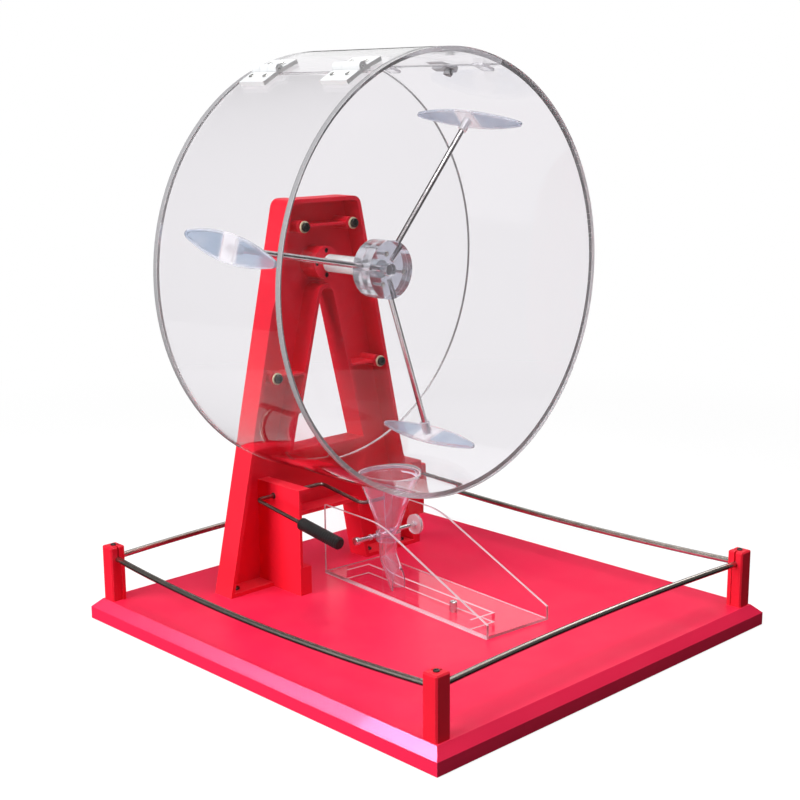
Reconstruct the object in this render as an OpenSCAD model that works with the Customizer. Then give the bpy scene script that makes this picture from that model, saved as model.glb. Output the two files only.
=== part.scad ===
/* [Base board] */
// Width of the base board, left to right
board_w = 480; // [460:1:560]
// Depth of the base board, front to back
board_d = 508; // [490:1:600]
// Height of the base board's straight side
board_side_h = 12.7; // [8:0.1:18]
// Full height of the base board
board_h = 21.5; // [19:0.5:26]
// How far the bevelled edge runs in
board_bevel = 9; // [4:0.5:14]

/* [Posts and rails] */
// Width of the square corner posts
post_size = 17; // [15:0.5:22]
// Height of a post's top above the table
post_top_z = 80; // [76:1:110]
// Distance of the post centres from the middle, left and right
post_x = 221.5; // [210:0.5:222]
// Distance of the post centres from the middle, front and back
post_y = 235; // [225:0.5:236]
// Diameter of the bowed rails
rail_d = 6; // [4:0.5:7]
// Height of the rail ends
rail_z = 66.5; // [55:0.5:68]

/* [Stand] */
// Depth of the A-shaped stand
stand_depth = 27.5; // [24:0.5:36]
// Thickness of the stand's back plate
stand_plate_t = 4; // [3:0.5:5]
// Thickness of the stand's walls
stand_wall_t = 4.3; // [3:0.1:5]
// Height of the stand's top
stand_top_z = 431.5; // [425:0.5:440]

/* [Drum] */
// Outer radius of the clear drum
drum_r = 218; // [214:1:219]
// Height of the drum's axis
drum_z = 363; // [360:1:366]
// Thickness of the drum's curved wall
drum_wall_t = 5; // [4:0.5:6]
// Thickness of the drum's two discs
disc_t = 6; // [5:0.5:8]
// Front face of the drum's front disc
drum_front_y = -43; // [-50:1:-40]
// Back face of the drum's back disc, where the stand begins
drum_back_y = 147; // [146:1:148]
// Radius of the outlet hole in the drum's floor
outlet_r = 33; // [30:0.5:34]

/* [Lid] */
// Angle of the lid's hinged edge, from the top towards the left
lid_hinge_a = 27; // [24:1:30]
// Angle of the lid's free edge, from the top towards the right
lid_free_a = 19; // [16:1:20]
// Length of one hinge along the drum
hinge_len = 37; // [30:1:40]
// Distance of each hinge from the middle of the drum
hinge_spread = 59; // [50:1:62]

/* [Rotor] */
// Radius of the clear hub
hub_r = 30; // [28:1:34]
// Front face of the hub
hub_front_y = 47; // [44:1:48]
// Thickness of the hub
hub_t = 25; // [24:1:28]
// Diameter of the spokes
spoke_d = 6; // [5:0.5:7]
// Distance of the paddles from the axis
paddle_r = 193; // [170:1:196]
// Length of a paddle along the axis
paddle_len = 140; // [110:1:150]
// Width of a paddle
paddle_w = 28; // [24:1:32]
// Direction of the first spoke, from the top towards the right
spoke_a = 40.5; // [0:0.5:119]

/* [Outlet and tray] */
// Outer radius of the funnel's neck
neck_r = 10.5; // [10.5:0.1:11]
// Outer radius of the chute below the neck
chute_r = 9.5; // [9.4:0.1:9.8]
// Length of the tray
tray_len = 260; // [240:1:270]
// Width of the tray
tray_w = 84.5; // [80:0.5:92]
// Height of the tray's walls above the table
tray_top_z = 100; // [90:1:101]
// Turn of the tray on the board
tray_turn = 4.6; // [4:0.1:5]

/* [Lever] */
// Diameter of the lever's rod
lever_d = 4; // [3:0.5:4]
// Height of the lever's pivot
lever_z = 122.75; // [120:0.25:125]
// Droop of the lever's two arms at rest
lever_tilt = 8.45; // [7:0.05:9]
// Diameter of the grip
grip_d = 13; // [11:0.5:15]

/* [Hidden] */

// Smoothness of round parts
$fn = 96;
small_fn = 40;
fine_fn = 720;
// Room round a pin, rod or screw in its hole
fit_gap = 0.05;
// How far a cutting shape runs past what it cuts
over = 1;

// Posts
post_edge = 1.5;
post_groove_w = 7;
post_groove_d = 1;
post_slit_w = 2;
rail_bury = 5;
// How far each rail's middle is moved aside and down from the line between its ends
rail_bow_left = [9, 4.5];
rail_bow_right = [6, 3];
rail_bow_front = [4, -2.5];
rail_bow_back = [5, -3];
set_screw_r = 1.5;
set_screw_head_r = 2.8;
set_screw_head_t = 1.5;
set_screw_len = 8;

// Wood screws in the board
wood_screw_r = 2;
wood_screw_head_r = 4;
wood_screw_head_t = 2.4;
post_screw_top_z = 44;
foot_screw_bottom_z = 8;
foot_screw_x = [70, 122];

// Stand
stand_front_y = drum_back_y;
stand_back_y = stand_front_y + stand_depth;
// Half the stand's width at the height of slope_ref_z, and how fast it narrows
stand_ref_half = 50;
slope_ref_z = 423;
stand_slope = 0.2184;
stand_corner_r = 11;
window_foot_z = 165;
window_foot_half = 50;
window_slope = 0.2485;
window_top_z = 336;
window_tip_r = 8;
arch_top_z = 91.5;
arch_foot_half = 57.2;
arch_slope = 0.204;
arch_corner_r = 2;
boss_r = 6.5;
boss_points = [[-34, 403], [34, 403], [-72, 248], [72, 248]];
shaft_boss_r = 17.5;
rib_t = 2.5;
// How far a rib reaches into the wall that it meets
rib_bury = 1;

// Drum screws
drum_screw_r = 2.5;
drum_screw_head_r = 4.8;
drum_screw_head_t = 3;
drum_screw_len = 22;
washer_r = 6.3;
washer_t = 1.2;

// Bracket beside the left leg
bracket_x0 = -80;
bracket_web_t = 3.5;
bracket_w = 15;
bracket_front_y = 102;
bracket_top_z = 136;
bracket_flange_t = 4.5;
bracket_foot_depth = 16;
bracket_foot_z = 52;
bracket_back_t = 5;
bracket_screw_zs = [70, 112];
bracket_screw_x = -71;
frame_screw_r = 1.5;
frame_screw_head_r = 2.75;
frame_screw_head_t = 2.4;
frame_screw_sink = 1;
bracket_screw_len = 9;

// Switch box on the right leg
box_x1 = 142;
box_top_z = 116;
box_wall_t = 2.5;
switch_z = 93;
switch_h = 19;
switch_w = 13;
switch_body_h = 15;
switch_body_w = 10;
switch_depth = 9;
switch_bezel_t = 1.6;
switch_wall_t = 1.2;
rocker_gap = 0.3;
rocker_rise = 2.2;
rocker_dip = 0.4;
rocker_root = 4.2;
rocker_root_share = 0.35;
rocker_pin_r = 1;
rocker_pin_bury = 0.9;
inlet_z = 62;
inlet_r = 3.4;
inlet_nut_r = 4.8;
inlet_nut_t = 2;
inlet_depth = 10;
inlet_hole_r = 2.75;
inlet_floor_t = 2;
inlet_x = 135.6;

// Motor behind the stand
gearbox_r = 18.5;
gearbox_len = 20;
can_r = 15;
can_len = 22;
can_boss_r = 5;
can_boss_len = 2;
can_tag_x = 9;
can_tag_w = 2;
can_tag_t = 0.8;
gearbox_lid_t = 3;
shaft_end_gap = 1;
motor_screw_ring = 13;
motor_screw_bury = 5;
shaft_r = 4;
bush_r = 6;

// Hinges and catch
hinge_axis_r = 223;
knuckle_r = 4.4;
leaf_w = 22;
leaf_t = 4;
leaf_gap = 1.5;
hinge_pin_r = 1.5;
hinge_mid_y = (drum_front_y + drum_back_y) / 2;
// Angle between the hinge line and a leaf's middle
leaf_a = (leaf_w / 2 + leaf_gap) / drum_r * 180 / PI;
hinge_screw_r = 1.5;
hinge_screw_head_r = 2.8;
hinge_screw_head_t = 1.2;
// Distance of a hinge's screws from its middle, as a share of its length
hinge_screw_share = 0.28;
barrel_web_lift = 0.6;
barrel_web_bury = 2;
knuckle_gap = 0.3;
lid_gap_a = 0.15;
lid_end_gap = 0.4;
catch_a = 23;
catch_y = 47;
catch_stem_r = 2.5;
catch_knob_r = 8;
catch_knob_t = 5;
catch_tongue_len = 22;
catch_tongue_w = 8;
catch_tongue_t = 2.4;
catch_lift = 0.6;
catch_nut_r = 5;
catch_nut_t = 3;
catch_bar_a = 17.6;
catch_bar_len = 24;
catch_bar_w = 7;
catch_bar_t = 1;
// Tabs inside the drum that the lid's free edge rests on
tab_t = 3;
tab_a0 = 16.5;
tab_a1 = 21.5;
tab_len = 14;
tab_gap = 0.3;

// Rotor
rotor_back_y = hub_front_y + hub_t;
hub_mid_y = hub_front_y + hub_t / 2;
hub_split = 0.1;
hub_bore_r = 6.6;
hub_bore_depth = 8;
hub_screw_ring = 18;
hub_screw_r = 1.5;
hub_screw_head_r = 2.8;
hub_screw_head_t = 2;
hub_nut_r = 6;
hub_nut_t = 5;
spoke_r0 = 11;
paddle_boss_r = 5;
paddle_boss_h = 17;
paddle_t = 3;
paddle_tip_r = 4;
paddle_rim = 2.6;
paddle_pocket = 1.1;
paddle_block = 19;
// Turn of each paddle on its spoke, so that they toss the balls sideways too
paddle_twist = [-5.5, -3, 8];
spoke_end_t = 1;
sleeve_r = 9.5;
sleeve_gap = 0.4;

// Outlet funnel, gate and chute
outlet_x = 0;
outlet_y = 52;
funnel_lip_z = 150;
funnel_flange_z = 144.6;
funnel_wall_t = 2;
funnel_steps = 12;
// How much wider the funnel gets by its straight taper, and the small step below its lip
funnel_taper = 19;
funnel_step = 0.5;
neck_top_z = 86.5;
neck_foot_z = 76.5;
collar_r = 13;
chute_wall_t = 1.2;
chute_elbow_z = 60;
chute_elbow_r = 10;
chute_lean = 28;
chute_slant = 60;
chute_foot_z = 25.5;
chute_mouth_y = 36;
chute_mouth_z = 51;
gate_y = outlet_y + 8.5;
gate_z = 81.6;
gate_pin_r = 2.5;
gate_flat = 1.5;
gate_x0 = -40.6;
gate_cap_r = 4.2;
gate_cap_t = 5;
gate_wheel_x = 46;
gate_wheel_r = 11;
gate_wheel_t = 4;
gate_hub_r = 4;
gate_hub_len = 3;
gate_pin_end = 2;
gate_pin_room = 0.6;

// Lever
lever_y = 144;
lever_left_x = -102;
lever_right_x = -12;
lever_bend_r = 6;
lever_handle_len = 127;
lever_gate_len = 64.5;
lever_stub_x = 20;
grip_len = 59.5;
grip_nose_r = 2.5;
grip_end_t = 4;
lever_bush_r = 3.4;
lever_bush_len = 14;
lever_bush_proud = 0.5;
lever_collar_r = 4.5;
lever_collar_t = 4;
lever_collar_gap = 0.3;
lever_collar_x = bracket_x0 - lever_bush_proud + lever_bush_len + lever_collar_gap;

// Tray, from its back left corner
tray_x = -13;
tray_y = 140;
tray_t = 3;
tray_slope_y = -95;
tray_nose_z = 36;
tray_round = 9;
ball_rail_w = 31;
ball_rail_t = 2.5;
ball_rail_h = 10;
ball_rail_back = -36;
ball_rail_front = -236;
stud_x = 25.3;
stud_y = -184.6;
stud_r = 4;
stud_h = 10;
stud_root_r = 2;

red = [0.86, 0.08, 0.16];
dark_red = [0.6, 0.04, 0.1];
steel = [0.7, 0.7, 0.72];
dark = [0.12, 0.12, 0.13];
clear = [0.85, 0.88, 0.92, 0.35];
lilac = [0.78, 0.76, 0.9, 0.5];
white = [0.95, 0.95, 0.95];
grey = [0.6, 0.6, 0.62];
brass = [0.8, 0.65, 0.35];

// Stands a flat outline, drawn as x and z, up from y0 to y1
module upright(y0, y1) {
    translate([0, y1, 0])
        rotate([90, 0, 0])
            linear_extrude(y1 - y0)
                children();
}

// Lays a flat outline, drawn as y and z, across from x0 to x1
module sideways(x0, x1) {
    translate([x0, 0, 0])
        rotate([90, 0, 90])
            linear_extrude(x1 - x0)
                children();
}

// Round bar along Y from y0 to y1
module bar_y(r, y0, y1) {
    translate([0, y1, 0])
        rotate([90, 0, 0])
            cylinder(h = y1 - y0, r = r);
}

// Round hole along Y, a fit wider than the pin or screw in it
module hole_y(r, y0, y1) {
    bar_y(r + fit_gap, y0, y1, $fn = small_fn);
}

// Round bar along X from x0 to x1
module bar_x(r, x0, x1) {
    translate([x0, 0, 0])
        rotate([0, 90, 0])
            cylinder(h = x1 - x0, r = r);
}

// Round hole along X, a fit wider than the pin or rod in it
module hole_x(r, x0, x1) {
    bar_x(r + fit_gap, x0, x1, $fn = small_fn);
}

// Moves to the drum's outer side at an angle from the top, with Z pointing outwards
module on_drum(a, y) {
    translate([0, y, drum_z])
        rotate([0, a, 0])
            children();
}

// Outline that narrows upwards, with its two top corners rounded
module narrowing(foot_z, foot_half, slope, top_z, corner_r) {
    lean = atan(slope);
    centre_z = top_z - corner_r;
    centre_x = foot_half - (centre_z - foot_z) * slope - corner_r / cos(lean);
    side_x = centre_x + corner_r * cos(lean);
    side_z = centre_z + corner_r * sin(lean);
    polygon([
        [-foot_half, foot_z], [foot_half, foot_z], [side_x, side_z],
        [centre_x, top_z], [-centre_x, top_z], [-side_x, side_z]
    ]);
    for (side = [-1, 1])
        translate([side * centre_x, centre_z])
            circle(r = corner_r, $fn = small_fn);
}

// Base board

module board_profile(width) {
    polygon([
        [-width / 2, 0], [width / 2, 0], [width / 2, board_side_h], [width / 2 - board_bevel, board_h],
        [board_bevel - width / 2, board_h], [-width / 2, board_side_h]
    ]);
}

module base_board() {
    color(red)
        difference() {
            intersection() {
                upright(-board_d / 2, board_d / 2)
                    board_profile(board_w);
                sideways(-board_w / 2, board_w / 2)
                    board_profile(board_d);
            }
            at_posts()
                screw_hole(0, board_h, 0, wood_screw_head_t);
            at_feet()
                translate([0, 0, foot_screw_bottom_z])
                    screw_bore(board_h);
        }
}

module at_posts() {
    for (x = [-post_x, post_x])
        for (y = [-post_y, post_y])
            translate([x, y, 0])
                children();
}

module at_feet() {
    for (side = [-1, 1])
        for (x = foot_screw_x)
            translate([side * x, (stand_front_y + stand_back_y - stand_plate_t) / 2, 0])
                children();
}

// Plain hole for a wood screw
module screw_bore(h) {
    cylinder(h = h, r = wood_screw_r + fit_gap, $fn = small_fn);
}

// Hole for a screw that enters from below, with a cone for its head
module screw_hole(z0, z1, head_z, head_t) {
    translate([0, 0, z0 - over])
        screw_bore(z1 - z0 + 2 * over);
    translate([0, 0, head_z])
        cylinder(h = head_t, r1 = wood_screw_head_r + fit_gap, r2 = wood_screw_r + fit_gap, $fn = small_fn);
}

module base_screws() {
    color(dark) {
        at_posts() {
            cylinder(h = wood_screw_head_t, r1 = wood_screw_head_r, r2 = wood_screw_r, $fn = small_fn);
            cylinder(h = post_screw_top_z, r = wood_screw_r, $fn = small_fn);
        }
        at_feet() {
            translate([0, 0, foot_screw_bottom_z])
                cylinder(h = board_h + stand_wall_t - foot_screw_bottom_z, r = wood_screw_r, $fn = small_fn);
            translate([0, 0, board_h + stand_wall_t])
                cylinder(h = wood_screw_head_t, r = wood_screw_head_r, $fn = small_fn);
        }
    }
}

// Posts and rails

// Arc of a bowed rail: its ends lie in two posts, and shift is how far its middle lies aside and down
module rail_arc(length, shift, r) {
    bow = norm(shift);
    bend_r = (length * length / 4 + bow * bow) / (2 * bow);
    half_a = asin(length / 2 / bend_r);
    rotate([atan2(-shift[1], shift[0]), 0, 0])
        translate([0, bow - bend_r, 0])
            rotate([0, 0, 90 - half_a])
                rotate_extrude(angle = 2 * half_a, $fn = 360)
                    translate([bend_r, 0])
                        circle(r = r, $fn = small_fn);
}

module left_rail_arc(r) {
    translate([-post_x, 0, rail_z])
        rotate([0, 0, 90])
            rail_arc(2 * (post_y - post_size / 2 + rail_bury), rail_bow_left, r);
}

module right_rail_arc(r) {
    translate([post_x, 0, rail_z])
        rotate([0, 0, 90])
            rail_arc(2 * (post_y - post_size / 2 + rail_bury), rail_bow_right, r);
}

module front_rail_arc(r) {
    translate([0, -post_y, rail_z])
        rail_arc(2 * (post_x - post_size / 2 + rail_bury), rail_bow_front, r);
}

module back_rail_arc(r) {
    translate([0, post_y, rail_z])
        rail_arc(2 * (post_x - post_size / 2 + rail_bury), rail_bow_back, r);
}

module all_rail_arcs(r) {
    left_rail_arc(r);
    right_rail_arc(r);
    front_rail_arc(r);
    back_rail_arc(r);
}

// Square outline with its corners cut
module cut_square(size, cut) {
    h = size / 2;
    polygon([
        [cut - h, -h], [h - cut, -h], [h, cut - h], [h, h - cut],
        [h - cut, h], [cut - h, h], [-h, h - cut], [-h, cut - h]
    ]);
}

// Side outline of a post, with its top edges cut
module post_side() {
    h = post_size / 2;
    polygon([
        [-h, board_h], [h, board_h], [h, post_top_z - post_edge], [h - post_edge, post_top_z],
        [post_edge - h, post_top_z], [-h, post_top_z - post_edge]
    ]);
}

// One post: side_x and side_y say in which corner it stands
module post(side_x, side_y) {
    h = post_size / 2;
    color(red)
        difference() {
            translate([side_x * post_x, side_y * post_y, 0])
                difference() {
                    intersection() {
                        linear_extrude(post_top_z)
                            cut_square(post_size, post_edge);
                        upright(-h, h)
                            post_side();
                        sideways(-h, h)
                            post_side();
                    }
                    post_face_cuts(-side_x, 0);
                    post_face_cuts(0, -side_y);
                    translate([0, 0, board_h - over])
                        screw_bore(post_screw_top_z - board_h + over);
                    translate([0, 0, post_top_z - set_screw_len])
                        cylinder(h = set_screw_len + over, r = set_screw_r + fit_gap, $fn = small_fn);
                }
            all_rail_arcs(rail_d / 2 + fit_gap);
        }
}

// Shallow groove below the rail hole and a slit above it, on the face that looks along (dx, dy)
module post_face_cuts(dx, dy) {
    h = post_size / 2;
    groove_h = rail_z - board_h;
    rotate([0, 0, atan2(dy, dx)]) {
        translate([h - post_groove_d, -post_groove_w / 2, board_h - over])
            cube([post_groove_d + over, post_groove_w, groove_h + over]);
        translate([h - rail_bury, -post_slit_w / 2, rail_z])
            cube([rail_bury + over, post_slit_w, post_top_z - rail_z + over]);
    }
}

module post_front() {
    post(-1, -1);
}

module post_right() {
    post(1, -1);
}

module post_left() {
    post(-1, 1);
}

module post_back() {
    post(1, 1);
}

module post_set_screws() {
    color(dark)
        at_posts() {
            translate([0, 0, post_top_z - set_screw_len])
                cylinder(h = set_screw_len, r = set_screw_r, $fn = small_fn);
            translate([0, 0, post_top_z])
                cylinder(h = set_screw_head_t, r = set_screw_head_r, $fn = small_fn);
        }
}

module rail_left() {
    color(steel)
        left_rail_arc(rail_d / 2);
}

module rail_right() {
    color(steel)
        right_rail_arc(rail_d / 2);
}

module rail_front() {
    color(steel)
        front_rail_arc(rail_d / 2);
}

module rail_back() {
    color(steel)
        back_rail_arc(rail_d / 2);
}

// Stand

function stand_half(z) = stand_ref_half + (slope_ref_z - z) * stand_slope;

module stand_outline(inset) {
    foot_z = board_h + inset;
    narrowing(
        foot_z,
        stand_half(foot_z) - inset / cos(atan(stand_slope)),
        stand_slope,
        stand_top_z - inset,
        stand_corner_r - inset
    );
}

// The triangle window, grown by a wall's thickness where grow is that thickness
module window_outline(grow) {
    foot_z = window_foot_z - grow;
    narrowing(
        foot_z,
        window_foot_half + grow * window_slope + grow / cos(atan(window_slope)),
        window_slope,
        window_top_z + grow,
        window_tip_r + grow
    );
}

// The arch between the legs, open down to the board
module arch_outline(grow) {
    narrowing(
        board_h - over,
        arch_foot_half + over * arch_slope + grow / cos(atan(arch_slope)),
        arch_slope,
        arch_top_z + grow,
        arch_corner_r + grow
    );
}

// What stands in the stand's hollow: bosses and ribs
module stand_inner() {
    for (p = boss_points)
        translate(p)
            circle(r = boss_r, $fn = small_fn);
    translate([0, drum_z])
        circle(r = shaft_boss_r);
    translate([boss_points[0][0], boss_points[0][1] - rib_t / 2])
        square([boss_points[1][0] - boss_points[0][0], rib_t]);
    rib_z = boss_points[2][1];
    rib_x = window_foot_half - (rib_z - window_foot_z) * window_slope + rib_bury;
    for (side = [-1, 1])
        mirror([side < 0 ? 1 : 0, 0])
            translate([rib_x, rib_z - rib_t / 2])
                square([boss_points[3][0] - rib_x, rib_t]);
}

module stand_hollow() {
    difference() {
        stand_outline(stand_wall_t);
        window_outline(stand_wall_t);
        arch_outline(stand_wall_t);
        stand_inner();
    }
}

module a_frame() {
    color(red)
        difference() {
            upright(stand_front_y, stand_back_y)
                difference() {
                    stand_outline(0);
                    window_outline(0);
                    arch_outline(0);
                }
            upright(stand_front_y - over, stand_back_y - stand_plate_t)
                stand_hollow();
            at_bosses()
                hole_y(drum_screw_r, stand_front_y - over, stand_front_y + drum_screw_len - disc_t);
            translate([0, 0, drum_z])
                bar_y(bush_r + fit_gap, stand_front_y - over, stand_back_y + over);
            at_motor_screws() {
                hole_y(frame_screw_r, stand_front_y - over, stand_back_y + over);
                hole_y(frame_screw_head_r, stand_front_y - over, stand_front_y + frame_screw_head_t + over);
            }
            at_bracket_screws()
                hole_y(frame_screw_r, stand_back_y - stand_plate_t - over, stand_back_y + over);
            at_feet()
                translate([0, 0, board_h - over])
                    screw_bore(stand_wall_t + 2 * over);
        }
}

module at_motor_screws() {
    for (a = [0 : 90 : 270])
        translate([motor_screw_ring * sin(a), 0, drum_z + motor_screw_ring * cos(a)])
            children();
}

module at_bracket_screws() {
    for (z = bracket_screw_zs)
        translate([bracket_screw_x, 0, z])
            children();
}

// Screws that hold the motor from the front and the bracket from the back
module frame_screws() {
    head_y = stand_front_y + frame_screw_sink;
    color(dark) {
        at_motor_screws() {
            bar_y(frame_screw_r, head_y, stand_back_y + motor_screw_bury, $fn = small_fn);
            bar_y(frame_screw_head_r, head_y, head_y + frame_screw_head_t, $fn = small_fn);
        }
        at_bracket_screws() {
            bar_y(
                frame_screw_r, stand_back_y - bracket_screw_len, stand_back_y + frame_screw_head_t,
                $fn = small_fn
            );
            bar_y(frame_screw_head_r, stand_back_y, stand_back_y + frame_screw_head_t, $fn = small_fn);
        }
    }
}

// Bracket beside the left leg, which carries the lever

module left_bracket() {
    inner_back = stand_back_y - stand_plate_t;
    foot_top = board_h + stand_wall_t;
    color(red)
        difference() {
            union() {
                sideways(bracket_x0, bracket_x0 + bracket_web_t)
                    polygon([
                        [bracket_front_y, board_h], [stand_front_y, board_h], [stand_front_y, foot_top],
                        [inner_back, foot_top], [inner_back, bracket_top_z], [bracket_front_y, bracket_top_z]
                    ]);
                translate([bracket_x0, bracket_front_y, bracket_top_z - bracket_flange_t])
                    cube([bracket_w, inner_back - bracket_front_y, bracket_flange_t]);
                translate([bracket_x0, bracket_front_y, board_h])
                    cube([bracket_w, bracket_foot_depth, bracket_foot_z - board_h]);
                translate([bracket_x0, inner_back - bracket_back_t, foot_top])
                    cube([bracket_w, bracket_back_t, bracket_top_z - foot_top]);
            }
            translate([0, lever_y, lever_z])
                hole_x(lever_bush_r, bracket_x0 - over, bracket_x0 + bracket_web_t + over);
            at_bracket_screws()
                hole_y(frame_screw_r, inner_back - bracket_back_t - over, inner_back + over);
        }
}

module lever_bush() {
    x0 = bracket_x0 - lever_bush_proud;
    color(dark)
        translate([0, lever_y, lever_z])
            difference() {
                bar_x(lever_bush_r, x0, x0 + lever_bush_len, $fn = small_fn);
                hole_x(lever_d / 2, x0 - over, x0 + lever_bush_len + over);
            }
}

// Switch box on the right leg

module box_outline(inset) {
    z0 = board_h + inset;
    z1 = box_top_z - inset;
    x1 = box_x1 - inset;
    side = inset / cos(atan(stand_slope));
    low_x = stand_half(z0) + side;
    high_x = stand_half(z1) + side;
    meet_z = slope_ref_z - (x1 - side - stand_ref_half) / stand_slope;
    if (low_x < x1)
        polygon([[low_x, z0], [x1, z0], [x1, z1], [high_x, z1]]);
    else
        polygon([[x1, meet_z], [x1, z1], [high_x, z1]]);
}

module switch_box() {
    color(dark_red)
        difference() {
            upright(stand_front_y, stand_back_y)
                box_outline(0);
            upright(stand_front_y + box_wall_t, stand_back_y - box_wall_t)
                box_outline(box_wall_t);
            at_switch()
                cube(
                    [4 * switch_depth, switch_body_w + 2 * fit_gap, switch_body_h + 2 * fit_gap],
                    center = true
                );
            translate([inlet_x, 0, inlet_z])
                hole_y(inlet_r, stand_back_y - box_wall_t - over, stand_back_y + over);
        }
}

module at_switch() {
    translate([box_x1, (stand_front_y + stand_back_y) / 2, switch_z])
        children();
}

// Frame of the rocker switch: a rim on the box and an open cup inside it
module switch_housing() {
    cup_w = switch_body_w - 2 * switch_wall_t;
    cup_h = switch_body_h - 2 * switch_wall_t;
    color(dark)
        at_switch()
            difference() {
                union() {
                    translate([0, -switch_w / 2, -switch_h / 2])
                        cube([switch_bezel_t, switch_w, switch_h]);
                    translate([-switch_depth, -switch_body_w / 2, -switch_body_h / 2])
                        cube([switch_depth + over / 2, switch_body_w, switch_body_h]);
                }
                translate([switch_wall_t - switch_depth, -cup_w / 2, -cup_h / 2])
                    cube([2 * switch_depth, cup_w, cup_h]);
                hole_y(rocker_pin_r, -switch_body_w / 2, switch_body_w / 2);
            }
}

// Rocker with two faces on a cross pin, tipped to its off side, so that its lower end stands out
module switch_rocker() {
    half_h = switch_body_h / 2 - switch_wall_t - rocker_gap;
    half_w = switch_body_w / 2 - switch_wall_t - rocker_gap;
    root_h = half_h * rocker_root_share;
    face_x = switch_bezel_t - rocker_dip;
    pin_y = half_w + rocker_gap + rocker_pin_bury;
    color(dark)
        at_switch() {
            upright(-half_w, half_w)
                polygon([
                    [-rocker_root, -root_h], [rocker_dip, rocker_dip - half_h],
                    [switch_bezel_t + rocker_rise, 2 * rocker_dip - half_h], [face_x, 0],
                    [face_x, half_h - rocker_gap], [0, half_h - rocker_gap], [-rocker_root, root_h]
                ]);
            bar_y(rocker_pin_r, -pin_y, pin_y, $fn = small_fn);
        }
}

module power_inlet() {
    color(dark)
        translate([inlet_x, 0, inlet_z])
            difference() {
                union() {
                    bar_y(inlet_r, stand_back_y - inlet_depth, stand_back_y, $fn = small_fn);
                    bar_y(inlet_nut_r, stand_back_y, stand_back_y + inlet_nut_t, $fn = small_fn);
                }
                bar_y(
                    inlet_hole_r,
                    stand_back_y - inlet_depth + inlet_floor_t, stand_back_y + inlet_nut_t + over,
                    $fn = small_fn
                );
            }
}

// Motor

module motor_gearbox() {
    color(steel)
        difference() {
            translate([0, 0, drum_z])
                difference() {
                    bar_y(gearbox_r, stand_back_y, stand_back_y + gearbox_len);
                    bar_y(shaft_r + fit_gap, stand_back_y - over, stand_back_y + gearbox_len - gearbox_lid_t);
                }
            at_motor_screws()
                hole_y(frame_screw_r, stand_back_y - over, stand_back_y + motor_screw_bury + over);
        }
}

module motor_can() {
    can_y = stand_back_y + gearbox_len;
    color(grey)
        translate([0, 0, drum_z]) {
            bar_y(can_r, can_y, can_y + can_len);
            bar_y(can_boss_r, can_y, can_y + can_len + can_boss_len);
            for (side = [-1, 1])
                translate([side * can_tag_x - can_tag_w / 2, can_y + can_len, -can_tag_t / 2])
                    cube([can_tag_w, can_boss_len, can_tag_t]);
        }
}

module shaft_bush() {
    color(brass)
        translate([0, 0, drum_z])
            difference() {
                bar_y(bush_r, stand_front_y, stand_back_y);
                bar_y(shaft_r + fit_gap, stand_front_y - over, stand_back_y + over);
            }
}

// Drum

module at_bosses() {
    for (p = boss_points)
        translate([p[0], 0, p[1]])
            children();
}

// Curved plate round the drum's axis from radius r0 to r1 and from angle a0 to a1, top towards right
module curved_plate(r0, r1, a0, a1, y0, y1) {
    translate([0, y1, drum_z])
        rotate([90, 0, 0])
            rotate([0, 0, 90 - a1])
                rotate_extrude(angle = a1 - a0)
                    translate([r0, 0])
                        square([r1 - r0, y1 - y0]);
}

module wall_piece(a0, a1, y0, y1) {
    curved_plate(drum_r - drum_wall_t, drum_r, a0, a1, y0, y1);
}

// Two small tabs under the lid's free edge, stepped down where the lid lies
module lid_tabs() {
    r1 = drum_r - drum_wall_t;
    for (end = [-1, 1]) {
        y0 = hinge_mid_y + end * (hinge_spread + tab_len / 2) - tab_len / 2;
        curved_plate(r1 - tab_t, r1 - tab_gap, tab_a0, tab_a1, y0, y0 + tab_len);
        curved_plate(r1 - tab_t, r1, lid_free_a, tab_a1, y0, y0 + tab_len);
    }
}

module drum_wall() {
    color(clear)
        difference() {
            union() {
                wall_piece(lid_free_a, 360 - lid_hinge_a, drum_front_y + disc_t, drum_back_y - disc_t);
                lid_tabs();
            }
            translate([outlet_x, outlet_y, 0])
                cylinder(h = drum_z - drum_r / 2, r = outlet_r + fit_gap);
            at_hinge_screws(-1)
                cylinder(h = drum_r + over, r = hinge_screw_r + fit_gap, $fn = small_fn);
            on_drum(catch_a, catch_y)
                cylinder(h = drum_r + over, r = catch_stem_r + fit_gap, $fn = small_fn);
        }
}

module drum_front_disc() {
    color(clear)
        translate([0, 0, drum_z])
            bar_y(drum_r, drum_front_y, drum_front_y + disc_t, $fn = 180);
}

module drum_back_disc() {
    color(clear)
        difference() {
            translate([0, 0, drum_z])
                bar_y(drum_r, drum_back_y - disc_t, drum_back_y, $fn = 180);
            translate([0, 0, drum_z])
                bar_y(shaft_r + over, drum_back_y - disc_t - over, drum_back_y + over);
            at_bosses()
                hole_y(drum_screw_r, drum_back_y - disc_t - over, drum_back_y + over);
        }
}

module drum_screws() {
    head_y = drum_back_y - disc_t - washer_t;
    color(dark)
        at_bosses() {
            bar_y(drum_screw_head_r, head_y - drum_screw_head_t, head_y, $fn = small_fn);
            bar_y(drum_screw_r, head_y - over, drum_back_y - disc_t + drum_screw_len - over, $fn = small_fn);
        }
}

module drum_washers() {
    y0 = drum_back_y - disc_t - washer_t;
    color(white)
        at_bosses()
            difference() {
                bar_y(washer_r, y0, y0 + washer_t, $fn = small_fn);
                hole_y(drum_screw_r, y0 - over, y0 + washer_t + over);
            }
}

// Lid, hinges and catch

module lid_panel() {
    color(clear)
        difference() {
            wall_piece(
                lid_gap_a - lid_hinge_a, lid_free_a - lid_gap_a,
                drum_front_y + disc_t + lid_end_gap, drum_back_y - disc_t - lid_end_gap
            );
            at_hinge_screws(1)
                cylinder(h = drum_r + over, r = hinge_screw_r + fit_gap, $fn = small_fn);
        }
}

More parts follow.
